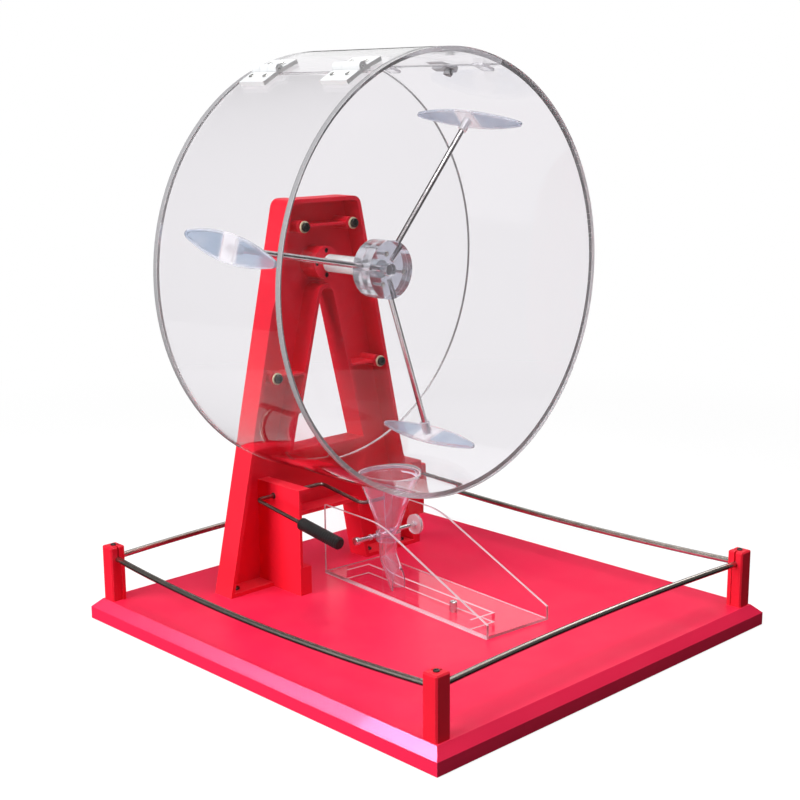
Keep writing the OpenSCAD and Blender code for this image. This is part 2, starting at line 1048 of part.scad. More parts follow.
// Places for the screws of the leaves on one side of the hinge line
module at_hinge_screws(side) {
    for (end = [-1, 1])
        for (row = [-1, 1])
            on_drum(
                side * leaf_a - lid_hinge_a,
                hinge_mid_y + end * hinge_spread + row * hinge_len * hinge_screw_share
            )
                children();
}

// One leaf: side is -1 on the drum and 1 on the lid
module leaf(side, y) {
    on_drum(side * leaf_a - lid_hinge_a, y)
        difference() {
            translate([-leaf_w / 2, -hinge_len / 2, drum_r - over])
                cube([leaf_w, hinge_len, leaf_t + over]);
            bar_y(drum_r + fit_gap, -hinge_len, hinge_len, $fn = fine_fn);
            for (row = [-1, 1])
                translate([0, row * hinge_len * hinge_screw_share, drum_r - over])
                    cylinder(h = leaf_t + 2 * over, r = hinge_screw_r + fit_gap, $fn = small_fn);
        }
}

// One barrel of a hinge, from y0 to y1 beside the hinge's middle, with its web to the leaf
module barrel(side, y, y0, y1) {
    on_drum(-lid_hinge_a, y) {
        translate([0, 0, hinge_axis_r])
            bar_y(knuckle_r, y0, y1, $fn = small_fn);
        translate([side > 0 ? 0 : -leaf_gap - barrel_web_bury, y0, drum_r + barrel_web_lift])
            cube([leaf_gap + barrel_web_bury, y1 - y0, leaf_t - barrel_web_lift]);
    }
}

module hinge_fixed(y) {
    half_barrel = hinge_len / 6;
    color(white)
        difference() {
            union() {
                leaf(-1, y);
                barrel(-1, y, knuckle_gap - half_barrel, half_barrel - knuckle_gap);
            }
            on_drum(-lid_hinge_a, y)
                translate([0, 0, hinge_axis_r])
                    hole_y(hinge_pin_r, -hinge_len, hinge_len);
            knuckle_room(y, -hinge_len / 2 - over, -half_barrel);
            knuckle_room(y, half_barrel, hinge_len / 2 + over);
        }
}

module hinge_lid(y) {
    half_barrel = hinge_len / 6;
    color(white)
        difference() {
            union() {
                leaf(1, y);
                barrel(1, y, -hinge_len / 2, -half_barrel);
                barrel(1, y, half_barrel, hinge_len / 2);
            }
            on_drum(-lid_hinge_a, y)
                translate([0, 0, hinge_axis_r])
                    hole_y(hinge_pin_r, -hinge_len, hinge_len);
            knuckle_room(y, -half_barrel, half_barrel);
        }
}

// Room round the other leaf's barrel
module knuckle_room(y, y0, y1) {
    on_drum(-lid_hinge_a, y)
        translate([0, 0, hinge_axis_r])
            bar_y(knuckle_r + knuckle_gap, y0, y1, $fn = small_fn);
}

module hinge_fixed_front() {
    hinge_fixed(hinge_mid_y - hinge_spread);
}

module hinge_fixed_back() {
    hinge_fixed(hinge_mid_y + hinge_spread);
}

module hinge_lid_front() {
    hinge_lid(hinge_mid_y - hinge_spread);
}

module hinge_lid_back() {
    hinge_lid(hinge_mid_y + hinge_spread);
}

module hinge_pins() {
    color(steel)
        for (end = [-1, 1])
            on_drum(-lid_hinge_a, hinge_mid_y + end * hinge_spread)
                translate([0, 0, hinge_axis_r])
                    bar_y(hinge_pin_r, -hinge_len / 2, hinge_len / 2, $fn = small_fn);
}

module hinge_screws(side) {
    color(steel)
        at_hinge_screws(side) {
            translate([0, 0, drum_r + leaf_t])
                cylinder(h = hinge_screw_head_t, r = hinge_screw_head_r, $fn = small_fn);
            translate([0, 0, drum_r - drum_wall_t + over])
                cylinder(h = drum_wall_t + leaf_t, r = hinge_screw_r, $fn = small_fn);
        }
}

module hinge_screws_drum() {
    hinge_screws(-1);
}

module hinge_screws_lid() {
    hinge_screws(1);
}

// Grey bar on the lid that the catch's tongue turns over
module catch_bar() {
    color(grey)
        on_drum(catch_bar_a, catch_y)
            translate([-catch_bar_w / 2, -catch_bar_len / 2, drum_r + fit_gap])
                cube([catch_bar_w, catch_bar_len, catch_bar_t]);
}

// Turning catch: knob and tongue outside, stem through the wall, nut inside
module catch_knob() {
    z0 = drum_r + catch_lift;
    color(white)
        on_drum(catch_a, catch_y) {
            translate([0, 0, drum_r - drum_wall_t - catch_lift - catch_nut_t])
                cylinder(h = drum_wall_t + 2 * catch_lift + catch_nut_t, r = catch_stem_r, $fn = small_fn);
            translate([0, 0, drum_r - drum_wall_t - catch_lift - catch_nut_t])
                cylinder(h = catch_nut_t, r = catch_nut_r, $fn = 6);
            translate([0, 0, z0])
                cylinder(h = catch_knob_t, r = catch_knob_r, $fn = small_fn);
            translate([-catch_tongue_w / 2, 0, z0])
                cube([catch_tongue_w, catch_tongue_len, catch_tongue_t]);
        }
}

// Rotor

module rotor_shaft() {
    y0 = hub_front_y + hub_bore_depth - hub_nut_t;
    color(steel)
        translate([0, 0, drum_z]) {
            bar_y(shaft_r, y0, stand_back_y + gearbox_len - gearbox_lid_t - shaft_end_gap);
            bar_y(hub_nut_r, y0, hub_front_y + hub_bore_depth, $fn = 6);
        }
}

module shaft_sleeve() {
    color(clear)
        translate([0, 0, drum_z])
            difference() {
                bar_y(sleeve_r, rotor_back_y, drum_back_y - disc_t - sleeve_gap);
                bar_y(shaft_r + fit_gap, rotor_back_y - over, drum_back_y);
            }
}

module at_hub_screws() {
    for (i = [0 : 2])
        translate([0, 0, drum_z])
            rotate([0, spoke_a + 60 + 120 * i, 0])
                translate([0, 0, hub_screw_ring])
                    children();
}

module hub_cuts() {
    translate([0, 0, drum_z])
        bar_y(shaft_r + fit_gap, hub_front_y - over, rotor_back_y + over);
    at_hub_screws()
        hole_y(hub_screw_r, hub_front_y - over, rotor_back_y + over);
    for (i = [0 : 2])
        at_spoke(i)
            cylinder(h = hub_r + over - spoke_r0, r = spoke_d / 2 + fit_gap, $fn = small_fn);
}

// Start of a spoke, with Z pointing along it
module at_spoke(i) {
    translate([0, hub_mid_y, drum_z])
        rotate([0, spoke_a + 120 * i, 0])
            translate([0, 0, spoke_r0])
                children();
}

module hub_front() {
    color(lilac)
        difference() {
            translate([0, 0, drum_z])
                bar_y(hub_r, hub_front_y, hub_mid_y - hub_split);
            hub_cuts();
            translate([0, 0, drum_z])
                bar_y(hub_bore_r, hub_front_y - over, hub_front_y + hub_bore_depth);
            at_hub_screws()
                hole_y(hub_screw_head_r, hub_front_y - over, hub_front_y + hub_screw_head_t);
        }
}

module hub_back() {
    color(lilac)
        difference() {
            translate([0, 0, drum_z])
                bar_y(hub_r, hub_mid_y + hub_split, rotor_back_y);
            hub_cuts();
        }
}

module hub_screws() {
    color(steel)
        at_hub_screws() {
            bar_y(hub_screw_head_r, hub_front_y, hub_front_y + hub_screw_head_t, $fn = small_fn);
            bar_y(hub_screw_r, hub_front_y, rotor_back_y, $fn = small_fn);
        }
}

module spoke(i) {
    color(steel)
        at_spoke(i)
            cylinder(h = paddle_r - spoke_r0 - spoke_end_t, r = spoke_d / 2, $fn = small_fn);
}

module spoke_1() {
    spoke(0);
}

module spoke_2() {
    spoke(1);
}

module spoke_3() {
    spoke(2);
}

// Leaf-shaped outline: two long arcs with the tips cut square, drawn inset by a rim's width
module paddle_outline(inset) {
    half_len = paddle_len / 2 - paddle_tip_r;
    side = paddle_w / 2 - paddle_tip_r;
    arc_r = (half_len * half_len + side * side) / (2 * side);
    intersection() {
        translate([arc_r - side, 0])
            circle(r = arc_r + paddle_tip_r - inset, $fn = 180);
        translate([side - arc_r, 0])
            circle(r = arc_r + paddle_tip_r - inset, $fn = 180);
        square([paddle_w, paddle_len - 2 * inset], center = true);
    }
}

// Two shallow pockets in a paddle's outer face, beside its middle block
module paddle_pockets() {
    translate([0, 0, paddle_r + paddle_t - paddle_pocket])
        linear_extrude(paddle_pocket + over)
            difference() {
                paddle_outline(paddle_rim);
                square([paddle_w, paddle_block], center = true);
            }
}

module paddle(i) {
    color(lilac)
        translate([0, hub_mid_y, drum_z])
            rotate([0, spoke_a + 120 * i, 0])
                rotate([0, 0, -paddle_twist[i]])
                difference() {
                    union() {
                        translate([0, 0, paddle_r])
                            linear_extrude(paddle_t)
                                paddle_outline(0);
                        translate([0, 0, paddle_r + paddle_t - paddle_boss_h])
                            cylinder(h = paddle_boss_h, r = paddle_boss_r, $fn = small_fn);
                    }
                    translate([0, 0, paddle_r - paddle_boss_h])
                        cylinder(
                            h = paddle_boss_h - spoke_end_t + fit_gap, r = spoke_d / 2 + fit_gap,
                            $fn = small_fn
                        );
                    paddle_pockets();
                }
}

module paddle_1() {
    paddle(0);
}

module paddle_2() {
    paddle(1);
}

module paddle_3() {
    paddle(2);
}

// Outlet funnel, gate and chute

// Outer radius of the funnel at a share t of its height: a straight taper, flared near the flange
function funnel_radius(t) =
    neck_r + funnel_taper * t + (outlet_r - funnel_step - neck_r - funnel_taper) * pow(t, 4);

function funnel_height(t) = neck_top_z + (funnel_flange_z - neck_top_z) * t;

module outlet_funnel() {
    steps = [for (i = [0 : funnel_steps]) i / funnel_steps];
    back_steps = [for (i = [funnel_steps : -1 : 0]) i / funnel_steps];
    outside = [for (t = steps) [funnel_radius(t), funnel_height(t)]];
    inside = [for (t = back_steps) [funnel_radius(t) - funnel_wall_t, funnel_height(t)]];
    color(clear)
        difference() {
            translate([outlet_x, outlet_y, 0])
                rotate_extrude()
                    polygon(concat(
                        [[neck_r, neck_foot_z]],
                        outside,
                        [[outlet_r, funnel_flange_z], [outlet_r, funnel_lip_z]],
                        [[outlet_r - funnel_wall_t - funnel_step, funnel_lip_z]],
                        inside,
                        [[neck_r - funnel_wall_t, neck_foot_z]]
                    ));
            gate_bore();
        }
}

module gate_bore() {
    translate([0, gate_y, gate_z])
        hole_x(gate_pin_r, outlet_x - 2 * collar_r, outlet_x + 2 * collar_r);
}

module neck_collar() {
    color(clear)
        difference() {
            translate([outlet_x, outlet_y, neck_foot_z])
                difference() {
                    cylinder(h = neck_top_z - neck_foot_z, r = collar_r);
                    translate([0, 0, -over])
                        cylinder(h = neck_top_z - neck_foot_z + 2 * over, r = neck_r + fit_gap);
                }
            gate_bore();
        }
}

// The chute's solid run: down from the neck, through a round elbow and slanting on to the tray
module chute_run(r, elbow_r, extra) {
    translate([outlet_x, outlet_y, chute_elbow_z]) {
        cylinder(h = neck_foot_z - chute_elbow_z + extra, r = r);
        sphere(r = elbow_r);
        rotate([-chute_lean, 0, 0])
            translate([0, 0, -chute_slant])
                cylinder(h = chute_slant, r = r);
    }
}

module chute_tube() {
    color(clear)
        difference() {
            chute_run(chute_r, chute_elbow_r, 0);
            chute_run(chute_r - chute_wall_t, chute_elbow_r - chute_wall_t, over);
            translate([outlet_x - chute_slant, chute_mouth_y - chute_slant, chute_foot_z - chute_slant])
                cube([2 * chute_slant, 2 * chute_slant, chute_slant]);
            translate([outlet_x - chute_slant, chute_mouth_y - chute_slant, chute_foot_z - over])
                cube([2 * chute_slant, chute_slant, chute_mouth_z - chute_foot_z + over]);
        }
}

// Gate pin with a flat at the neck: the flat lets a ball pass, the round side holds it
module gate_pin() {
    color(steel)
        translate([0, gate_y, gate_z])
            difference() {
                union() {
                    bar_x(gate_pin_r, gate_x0, gate_wheel_x + gate_wheel_t + gate_pin_end, $fn = small_fn);
                    bar_x(gate_cap_r, gate_x0, gate_x0 + gate_cap_t, $fn = small_fn);
                }
                translate([outlet_x - neck_r, -gate_pin_r, gate_pin_r - gate_flat])
                    cube([2 * neck_r, 2 * gate_pin_r, gate_pin_r]);
            }
}

module gate_wheel() {
    color(clear)
        translate([0, gate_y, gate_z])
            difference() {
                union() {
                    bar_x(gate_wheel_r, gate_wheel_x, gate_wheel_x + gate_wheel_t);
                    bar_x(gate_hub_r, gate_wheel_x - gate_hub_len, gate_wheel_x + gate_wheel_t, $fn = small_fn);
                }
                hole_x(gate_pin_r, gate_wheel_x - 2 * gate_wheel_t, gate_wheel_x + 2 * gate_wheel_t);
            }
}

// Lever

// A quarter bend of the rod in the flat, from the -Y side of a corner to its X side
module rod_bend(r) {
    rotate_extrude(angle = 90)
        translate([lever_bend_r, 0])
            circle(r = r, $fn = small_fn);
}

// The lever drawn flat: the pivot run lies on X, and the arms point to -Y
module lever_flat() {
    r = lever_d / 2;
    b = lever_bend_r;
    bar_x(r, lever_left_x + b, lever_right_x - b, $fn = small_fn);
    translate([lever_left_x + b, -b, 0])
        rotate([0, 0, 90])
            rod_bend(r);
    translate([lever_left_x, 0, 0])
        bar_y(r, -lever_handle_len, -b, $fn = small_fn);
    translate([lever_right_x - b, -b, 0])
        rod_bend(r);
    translate([lever_right_x, 0, 0])
        bar_y(r, b - lever_gate_len, -b, $fn = small_fn);
    translate([lever_right_x + b, b - lever_gate_len, 0])
        rotate([0, 0, 180])
            rod_bend(r);
    translate([0, -lever_gate_len, 0])
        bar_x(r, lever_right_x + b, lever_stub_x, $fn = small_fn);
    bar_x(lever_collar_r, lever_collar_x, lever_collar_x + lever_collar_t, $fn = small_fn);
}

module at_lever() {
    translate([0, lever_y, lever_z])
        rotate([lever_tilt, 0, 0])
            children();
}

module lever_rod() {
    color(steel)
        at_lever()
            lever_flat();
}

module lever_grip() {
    grip_r = grip_d / 2;
    y1 = -lever_handle_len - grip_end_t;
    color(dark)
        at_lever()
            translate([lever_left_x, y1, 0])
                rotate([-90, 0, 0])
                    difference() {
                        rotate_extrude()
                            union() {
                                square([grip_r - grip_nose_r, grip_len]);
                                translate([0, grip_nose_r])
                                    square([grip_r, grip_len - 2 * grip_nose_r]);
                                for (h = [grip_nose_r, grip_len - grip_nose_r])
                                    translate([grip_r - grip_nose_r, h])
                                        circle(r = grip_nose_r, $fn = small_fn);
                            }
                        translate([0, 0, grip_end_t])
                            cylinder(h = grip_len, r = lever_d / 2 + fit_gap, $fn = small_fn);
                    }
}

// Tray

module in_tray() {
    translate([tray_x, tray_y, 0])
        rotate([0, 0, -tray_turn])
            children();
}

// Side outline of a tray wall, as y and z, with its upper front corner rounded by an arc
module tray_side() {
    fall = atan2(tray_top_z - tray_nose_z, tray_len + tray_slope_y);
    reach = tray_round * 2;
    arc = [for (i = [0 : 6]) i / 6];
    corner = [for (t = arc) [
        tray_slope_y + reach * (1 - t) * (1 - t) - reach * cos(fall) * t * t,
        tray_top_z - reach * sin(fall) * t * t
    ]];
    polygon(concat(
        [[0, board_h], [0, tray_top_z]],
        corner,
        [[-tray_len, tray_nose_z], [-tray_len, board_h]]
    ));
}

module tray_floor() {
    color(clear)
        in_tray()
            difference() {
                translate([tray_t, -tray_len, board_h])
                    cube([tray_w - 2 * tray_t, tray_len, tray_t]);
                translate([stud_x, stud_y, board_h - over])
                    cylinder(h = tray_t + 2 * over, r = stud_root_r + fit_gap, $fn = small_fn);
            }
}

module tray_wall_left() {
    color(clear)
        difference() {
            in_tray()
                sideways(0, tray_t)
                    tray_side();
            translate([0, gate_y, gate_z])
                bar_x(gate_pin_r + gate_pin_room, gate_x0 + gate_cap_t, outlet_x, $fn = small_fn);
        }
}

module tray_wall_right() {
    color(clear)
        in_tray()
            sideways(tray_w - tray_t, tray_w)
                tray_side();
}

// Low wall that guides the drawn balls along the tray's left wall
module ball_rail() {
    x1 = tray_t + ball_rail_w;
    color(clear)
        in_tray()
            translate([0, 0, board_h + tray_t])
                difference() {
                    translate([tray_t, ball_rail_front, 0])
                        cube([ball_rail_w, ball_rail_back - ball_rail_front, ball_rail_h]);
                    translate([tray_t - over, ball_rail_front + ball_rail_t, -over])
                        cube([
                            ball_rail_w - ball_rail_t + over,
                            ball_rail_back - ball_rail_front - 2 * ball_rail_t,
                            ball_rail_h + 2 * over
                        ]);
                }
}

module rail_stud() {
    color(steel)
        in_tray()
            translate([stud_x, stud_y, board_h]) {
                cylinder(h = tray_t, r = stud_root_r, $fn = small_fn);
                translate([0, 0, tray_t])
                    cylinder(h = stud_h, r = stud_r, $fn = small_fn);
            }
}

base_board();
post_front();
post_right();
post_left();
post_back();
post_set_screws();
base_screws();
rail_left();
rail_front();
rail_right();
rail_back();
a_frame();
left_bracket();
frame_screws();
lever_bush();
switch_box();
switch_housing();
switch_rocker();
power_inlet();
motor_gearbox();
motor_can();
shaft_bush();
drum_wall();
drum_front_disc();
drum_back_disc();
drum_screws();
drum_washers();
lid_panel();
hinge_fixed_front();
hinge_fixed_back();
hinge_lid_front();
hinge_lid_back();
hinge_pins();
hinge_screws_drum();
hinge_screws_lid();
catch_bar();
catch_knob();
rotor_shaft();
shaft_sleeve();
hub_front();
hub_back();
hub_screws();
spoke_1();
spoke_2();
spoke_3();
paddle_1();
paddle_2();
paddle_3();
outlet_funnel();
neck_collar();
chute_tube();
gate_pin();
gate_wheel();
lever_rod();
lever_grip();
tray_floor();
tray_wall_left();
tray_wall_right();
ball_rail();
rail_stud();
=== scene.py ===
"""Looks of a tabletop lottery machine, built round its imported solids.

Sizes in the classes are millimetres; a mesh gets metres when it is made.
"""

from __future__ import annotations

import logging
import math
from dataclasses import dataclass
from enum import Enum
from typing import Sequence

import bmesh
import bpy
import numpy as np
from mathutils import Matrix, Vector

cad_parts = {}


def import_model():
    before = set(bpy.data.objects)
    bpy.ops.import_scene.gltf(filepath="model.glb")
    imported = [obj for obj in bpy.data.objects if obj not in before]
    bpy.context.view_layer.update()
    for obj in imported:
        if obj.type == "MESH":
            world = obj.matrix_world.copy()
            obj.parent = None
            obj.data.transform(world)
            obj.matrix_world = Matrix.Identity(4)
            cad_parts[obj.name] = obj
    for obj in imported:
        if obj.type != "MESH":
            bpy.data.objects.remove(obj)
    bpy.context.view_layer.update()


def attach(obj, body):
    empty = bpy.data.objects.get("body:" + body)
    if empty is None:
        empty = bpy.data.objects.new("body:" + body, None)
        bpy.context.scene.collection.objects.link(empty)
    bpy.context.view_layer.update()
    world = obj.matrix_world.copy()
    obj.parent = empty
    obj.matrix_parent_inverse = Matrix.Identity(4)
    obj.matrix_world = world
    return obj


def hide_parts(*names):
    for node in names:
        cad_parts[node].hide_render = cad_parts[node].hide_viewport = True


LOG = logging.getLogger("lottery_machine")
# One millimetre in metres
MM = 0.001
# The drum's outer radius, and the height of its axis over the table
DRUM_R = 218.0
AXIS_Z = 363.0
# The lid's hinge line, in degrees from the drum's top towards -X
HINGE_A = 27.0
# The outlet's place along the drum, which is also the drum's middle
OUTLET_Y = 52.0
# Points of one mesh that are closer than this are merged, in metres
MERGE = 2e-6
# Edges over this angle in degrees are rounded, and edges over the next one stay sharp
ROUNDED_OVER = 32.0
SHARP = 35.0
# The collection of pieces that the bevel glare lights
GLARE_LIT = "lit_by_bevel_glare"
Colour = tuple[float, float, float]


class Body(Enum):
    """The moving bodies of the machine."""

    MACHINE = "machine"
    LID = "lid"
    CATCH = "catch"
    ROTOR = "rotor"
    GATE = "gate"
    LEVER = "lever"
    SWITCH = "switch"


# Surfaces


@dataclass
class Shape:
    """Points in millimetres, faces as arrays with one row for each face, and each point's milkiness."""

    points: np.ndarray
    faces: list[np.ndarray]
    milk: np.ndarray | None = None

    def __add__(self, other: "Shape") -> "Shape":
        """Both shapes as one.

        Args:
            other: the shape whose faces follow this one's.

        Returns:
            A shape with the points and faces of both.
        """
        shift = len(self.points)
        milk = None
        if self.milk is not None or other.milk is not None:
            parts = [np.zeros(len(s.points)) if s.milk is None else s.milk for s in (self, other)]
            milk = np.concatenate(parts)
        faces = self.faces + [f + shift for f in other.faces]
        return Shape(np.vstack([self.points, other.points]), faces, milk)

    def turned_about_y(self, degrees: float, centre: Sequence[float]) -> "Shape":
        """Turns the shape about the drum's direction, so that its +Z leans towards +X.

        Args:
            degrees: the turn.
            centre: where the shape's origin goes.

        Returns:
            The turned shape, moved to the centre.
        """
        a = math.radians(degrees)
        turn = np.array([[math.cos(a), 0, math.sin(a)], [0, 1, 0], [-math.sin(a), 0, math.cos(a)]])
        return Shape(self.points @ turn.T + np.asarray(centre, float), self.faces, self.milk)

    def twisted(self, degrees: float) -> "Shape":
        """Turns the shape about its own upright direction, so that its +Y leans towards +X.

        Args:
            degrees: the turn.

        Returns:
            The turned shape.
        """
        a = math.radians(degrees)
        turn = np.array([[math.cos(a), math.sin(a), 0], [-math.sin(a), math.cos(a), 0], [0, 0, 1]])
        return Shape(self.points @ turn.T, self.faces, self.milk)


def joined(shapes: Sequence[Shape]) -> Shape:
    """Adds several shapes up.

    Args:
        shapes: at least one shape.

    Returns:
        One shape with all their faces.
    """
    whole = shapes[0]
    for shape in shapes[1:]:
        whole = whole + shape
    return whole


def surface(grid: np.ndarray, wrap_rows: bool = False, wrap_cols: bool = False) -> Shape:
    """Joins a grid of points with four-sided faces: each point to the next in its row and column.

    Args:
        grid: points, as rows by columns by 3.
        wrap_rows: the last row joins the first.
        wrap_cols: the last column joins the first.

    Returns:
        The surface.
    """
    rows, cols = grid.shape[:2]
    r = np.arange(rows if wrap_rows else rows - 1)[:, None]
    c = np.arange(cols if wrap_cols else cols - 1)[None, :]
    r2, c2 = (r + 1) % rows, (c + 1) % cols
    quads = np.stack([r * cols + c, r * cols + c2, r2 * cols + c2, r2 * cols + c], -1)
    return Shape(grid.reshape(-1, 3).astype(float), [quads.reshape(-1, 4)])


def rounded(
    corners: Sequence, radii: float | Sequence[float], steps: int = 5, closed: bool = False
) -> np.ndarray:
    """Rounds a line's corners with true arcs.

    An arc of radius R touches both sides of a corner at R times the tangent of half its turn. It is
    written as a weighted mean of the two touching points and the corner, whose weight is the cosine of
    half the turn.

    Args:
        corners: the corner points, in the plane or in space.
        radii: one radius, or one for each corner.
        steps: spans in each arc.
        closed: the last corner joins the first.

    Returns:
        The points of the rounded line.
    """
    c = np.asarray(corners, float)
    r = np.array(np.broadcast_to(np.asarray(radii, float), (len(c),)))
    if not closed:
        r[[0, -1]] = 0
    before, after = np.roll(c, 1, 0) - c, np.roll(c, -1, 0) - c
    lb = np.linalg.norm(before, axis=1) + 1e-12
    la = np.linalg.norm(after, axis=1) + 1e-12
    turn = np.arccos(np.clip(-(before * after).sum(1) / (lb * la), -1, 1))
    reach = np.minimum(r * np.tan(np.minimum(turn, 3.0) / 2), 0.499 * np.minimum(lb, la))[:, None]
    a, b = c + before / lb[:, None] * reach, c + after / la[:, None] * reach
    t = np.linspace(0, 1, steps + 1)[None, :, None]
    w = np.cos(turn / 2)[:, None, None]
    low, mid, high = (1 - t) ** 2, 2 * t * (1 - t) * w, t**2
    line = (low * a[:, None] + mid * c[:, None] + high * b[:, None]) / (low + mid + high)
    return line.reshape(-1, c.shape[1])


def across(direction: np.ndarray) -> tuple[np.ndarray, np.ndarray]:
    """Two directions square to a third and to each other.

    Args:
        direction: a unit direction.

    Returns:
        The two unit directions, which make a right-handed set with the third.
    """
    start = np.array([0.0, 0.0, 1.0]) if abs(direction[2]) < 0.9 else np.array([1.0, 0.0, 0.0])
    first = start - (start @ direction) * direction
    first /= np.linalg.norm(first)
    return first, np.cross(direction, first)


def turned(
    profile: np.ndarray,
    origin: Sequence[float],
    direction: Sequence[float],
    steps: int = 96,
    closed: bool = False,
) -> Shape:
    """Carries a profile round an axis, as on a lathe.

    A profile row is (height, radius) or (height, radius, hexness). A point is origin + height * direction +
    radius * k * (cos(t) * first + sin(t) * second), where k is 1 on a circle and a hexagon's rise at angle t
    where hexness is 1.

    Args:
        profile: the rows.
        origin: a point on the axis.
        direction: the axis.
        steps: faces round the axis.
        closed: the last row joins the first, as in a ring.

    Returns:
        The turned surface.
    """
    rows = np.asarray(profile, float)
    d = np.asarray(direction, float) / np.linalg.norm(direction)
    first, second = across(d)
    t = np.linspace(0, 2 * math.pi, steps, endpoint=False)
    hexness = rows[:, 2] if rows.shape[1] > 2 else np.zeros(len(rows))
    rise = 1 / np.cos((t + math.pi / 6) % (math.pi / 3) - math.pi / 6) - 1
    radius = rows[:, 1, None] * (1 + hexness[:, None] * rise[None, :])
    ring = np.cos(t)[:, None] * first + np.sin(t)[:, None] * second
    grid = np.asarray(origin, float) + rows[:, 0, None, None] * d + radius[:, :, None] * ring[None]
    return surface(grid, wrap_rows=closed, wrap_cols=True)


def swept(path: np.ndarray, radius: float | np.ndarray, reference: Sequence[float], sides: int = 28) -> Shape:
    """Carries a circle along a path and closes both ends.

    At each point the circle stands square to the path's direction; its own first direction is the reference
    less its share along the path.

    Args:
        path: points of the path.
        radius: one radius, or one for each point.
        reference: a direction that the path never takes.
        sides: faces round the rod.

    Returns:
        The rod.
    """
    tangent = np.gradient(path, axis=0)
    tangent /= np.linalg.norm(tangent, axis=1)[:, None] + 1e-12
    ref = np.asarray(reference, float)
    first = ref - (tangent @ ref)[:, None] * tangent
    first /= np.linalg.norm(first, axis=1)[:, None]
    second = np.cross(tangent, first)
    r = np.array(np.broadcast_to(np.asarray(radius, float), (len(path),)))
    t = np.linspace(0, 2 * math.pi, sides, endpoint=False)
    ring = np.cos(t)[None, :, None] * first[:, None] + np.sin(t)[None, :, None] * second[:, None]
    grid = path[:, None] + r[:, None, None] * ring
    ends = [np.repeat(path[i][None, None], sides, 1) for i in (0, -1)]
    return surface(np.concatenate([ends[0], grid, ends[1]]), wrap_cols=True)


def bent(radius: float | np.ndarray, a: np.ndarray, y: np.ndarray, height: float) -> np.ndarray:
    """A grid that bends round the drum's axis: x = r sin(a), z = height + r cos(a).

    Args:
        radius: one radius, or one for each angle.
        a: angles from the top towards +X in radians, as a column.
        y: places along the axis, as a row.
        height: the axis's height.

    Returns:
        The grid's points, as angles by places by 3.
    """
    return np.stack(np.broadcast_arrays(radius * np.sin(a), y, height + radius * np.cos(a)), -1)


def curved_plate(
    radii: tuple[float, float],
    angles: tuple[float, float],
    ys: tuple[float, float],
    height: float,
    counts: tuple[int, int],
) -> Shape:
    """A closed plate that bends round the drum's axis.

    Args:
        radii: inner and outer radius.
        angles: first and last angle from the top towards +X, in degrees.
        ys: first and last place along the axis.
        height: the axis's height.
        counts: spans round the axis and along it.

    Returns:
        The plate.
    """
    a = np.radians(np.linspace(*angles, counts[0] + 1))[:, None]
    y = np.linspace(*ys, counts[1] + 1)[None, :]
    inner, outer = (bent(r, a, y, height) for r in radii)
    return shell_between(outer, inner)


def shell_between(outer: np.ndarray, inner: np.ndarray) -> Shape:
    """Closes the space between two grids of one size with strips along their four edges.

    Args:
        outer: one grid.
        inner: the other grid.

    Returns:
        The closed shell.
    """
    edges = [np.stack([outer[i], inner[i]]) for i in (0, -1)]
    edges += [np.stack([outer[:, i], inner[:, i]]) for i in (0, -1)]
    return joined([surface(outer), surface(inner), *(surface(e) for e in edges)])


# Pieces


def smooth_mesh(bm: bmesh.types.BMesh, node: str, bevel: float, sharp: float) -> bpy.types.Mesh:
    """Points the faces of a merged mesh outwards, rounds its sharp edges and shades it smooth.

    Args:
        bm: the merged mesh, which is freed.
        node: the solid that the new mesh is named after.
        bevel: the rounding's width in millimetres, or 0.
        sharp: edges over this angle, in degrees, count as sharp.

    Returns:
        The finished mesh.
    """
    bmesh.ops.recalc_face_normals(bm, faces=bm.faces)
    if bevel > 0:
        limit = math.radians(ROUNDED_OVER)
        edges = [e for e in bm.edges if len(e.link_faces) == 2 and e.calc_face_angle(0.0) > limit]
        bmesh.ops.bevel(
            bm,
            geom=edges,
            offset=bevel * MM,
            offset_type="OFFSET",
            segments=2,
            profile=0.5,
            affect="EDGES",
            clamp_overlap=True,
        )
    mesh = bpy.data.meshes.new(node + "_piece")
    bm.to_mesh(mesh)
    bm.free()
    mesh.shade_smooth()
    mesh.set_sharp_from_angle(angle=math.radians(sharp))
    return mesh


def placed(mesh: bpy.types.Mesh, node: str, finish: "Finish", body: Body) -> bpy.types.Object:
    """Adds a mesh to the scene as a piece of the machine.

    Args:
        mesh: the finished mesh, whose name the piece takes.
        node: the solid that it stands for.
        finish: what it is made of.
        body: the body that it rides on.

    Returns:
        The piece.
    """
    piece = bpy.data.objects.new(mesh.name, mesh)
    bpy.context.scene.collection.objects.link(piece)
    mesh.materials.append(finish.material())
    flat = piece.modifiers.new("flat_faces_stay_flat", "WEIGHTED_NORMAL")
    flat.keep_sharp = True
    flat.weight = 90
    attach(piece, body.value)
    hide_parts(node)
    LOG.info("%s: %d faces, rides on %s", piece.name, len(mesh.polygons), body.value)
    return piece


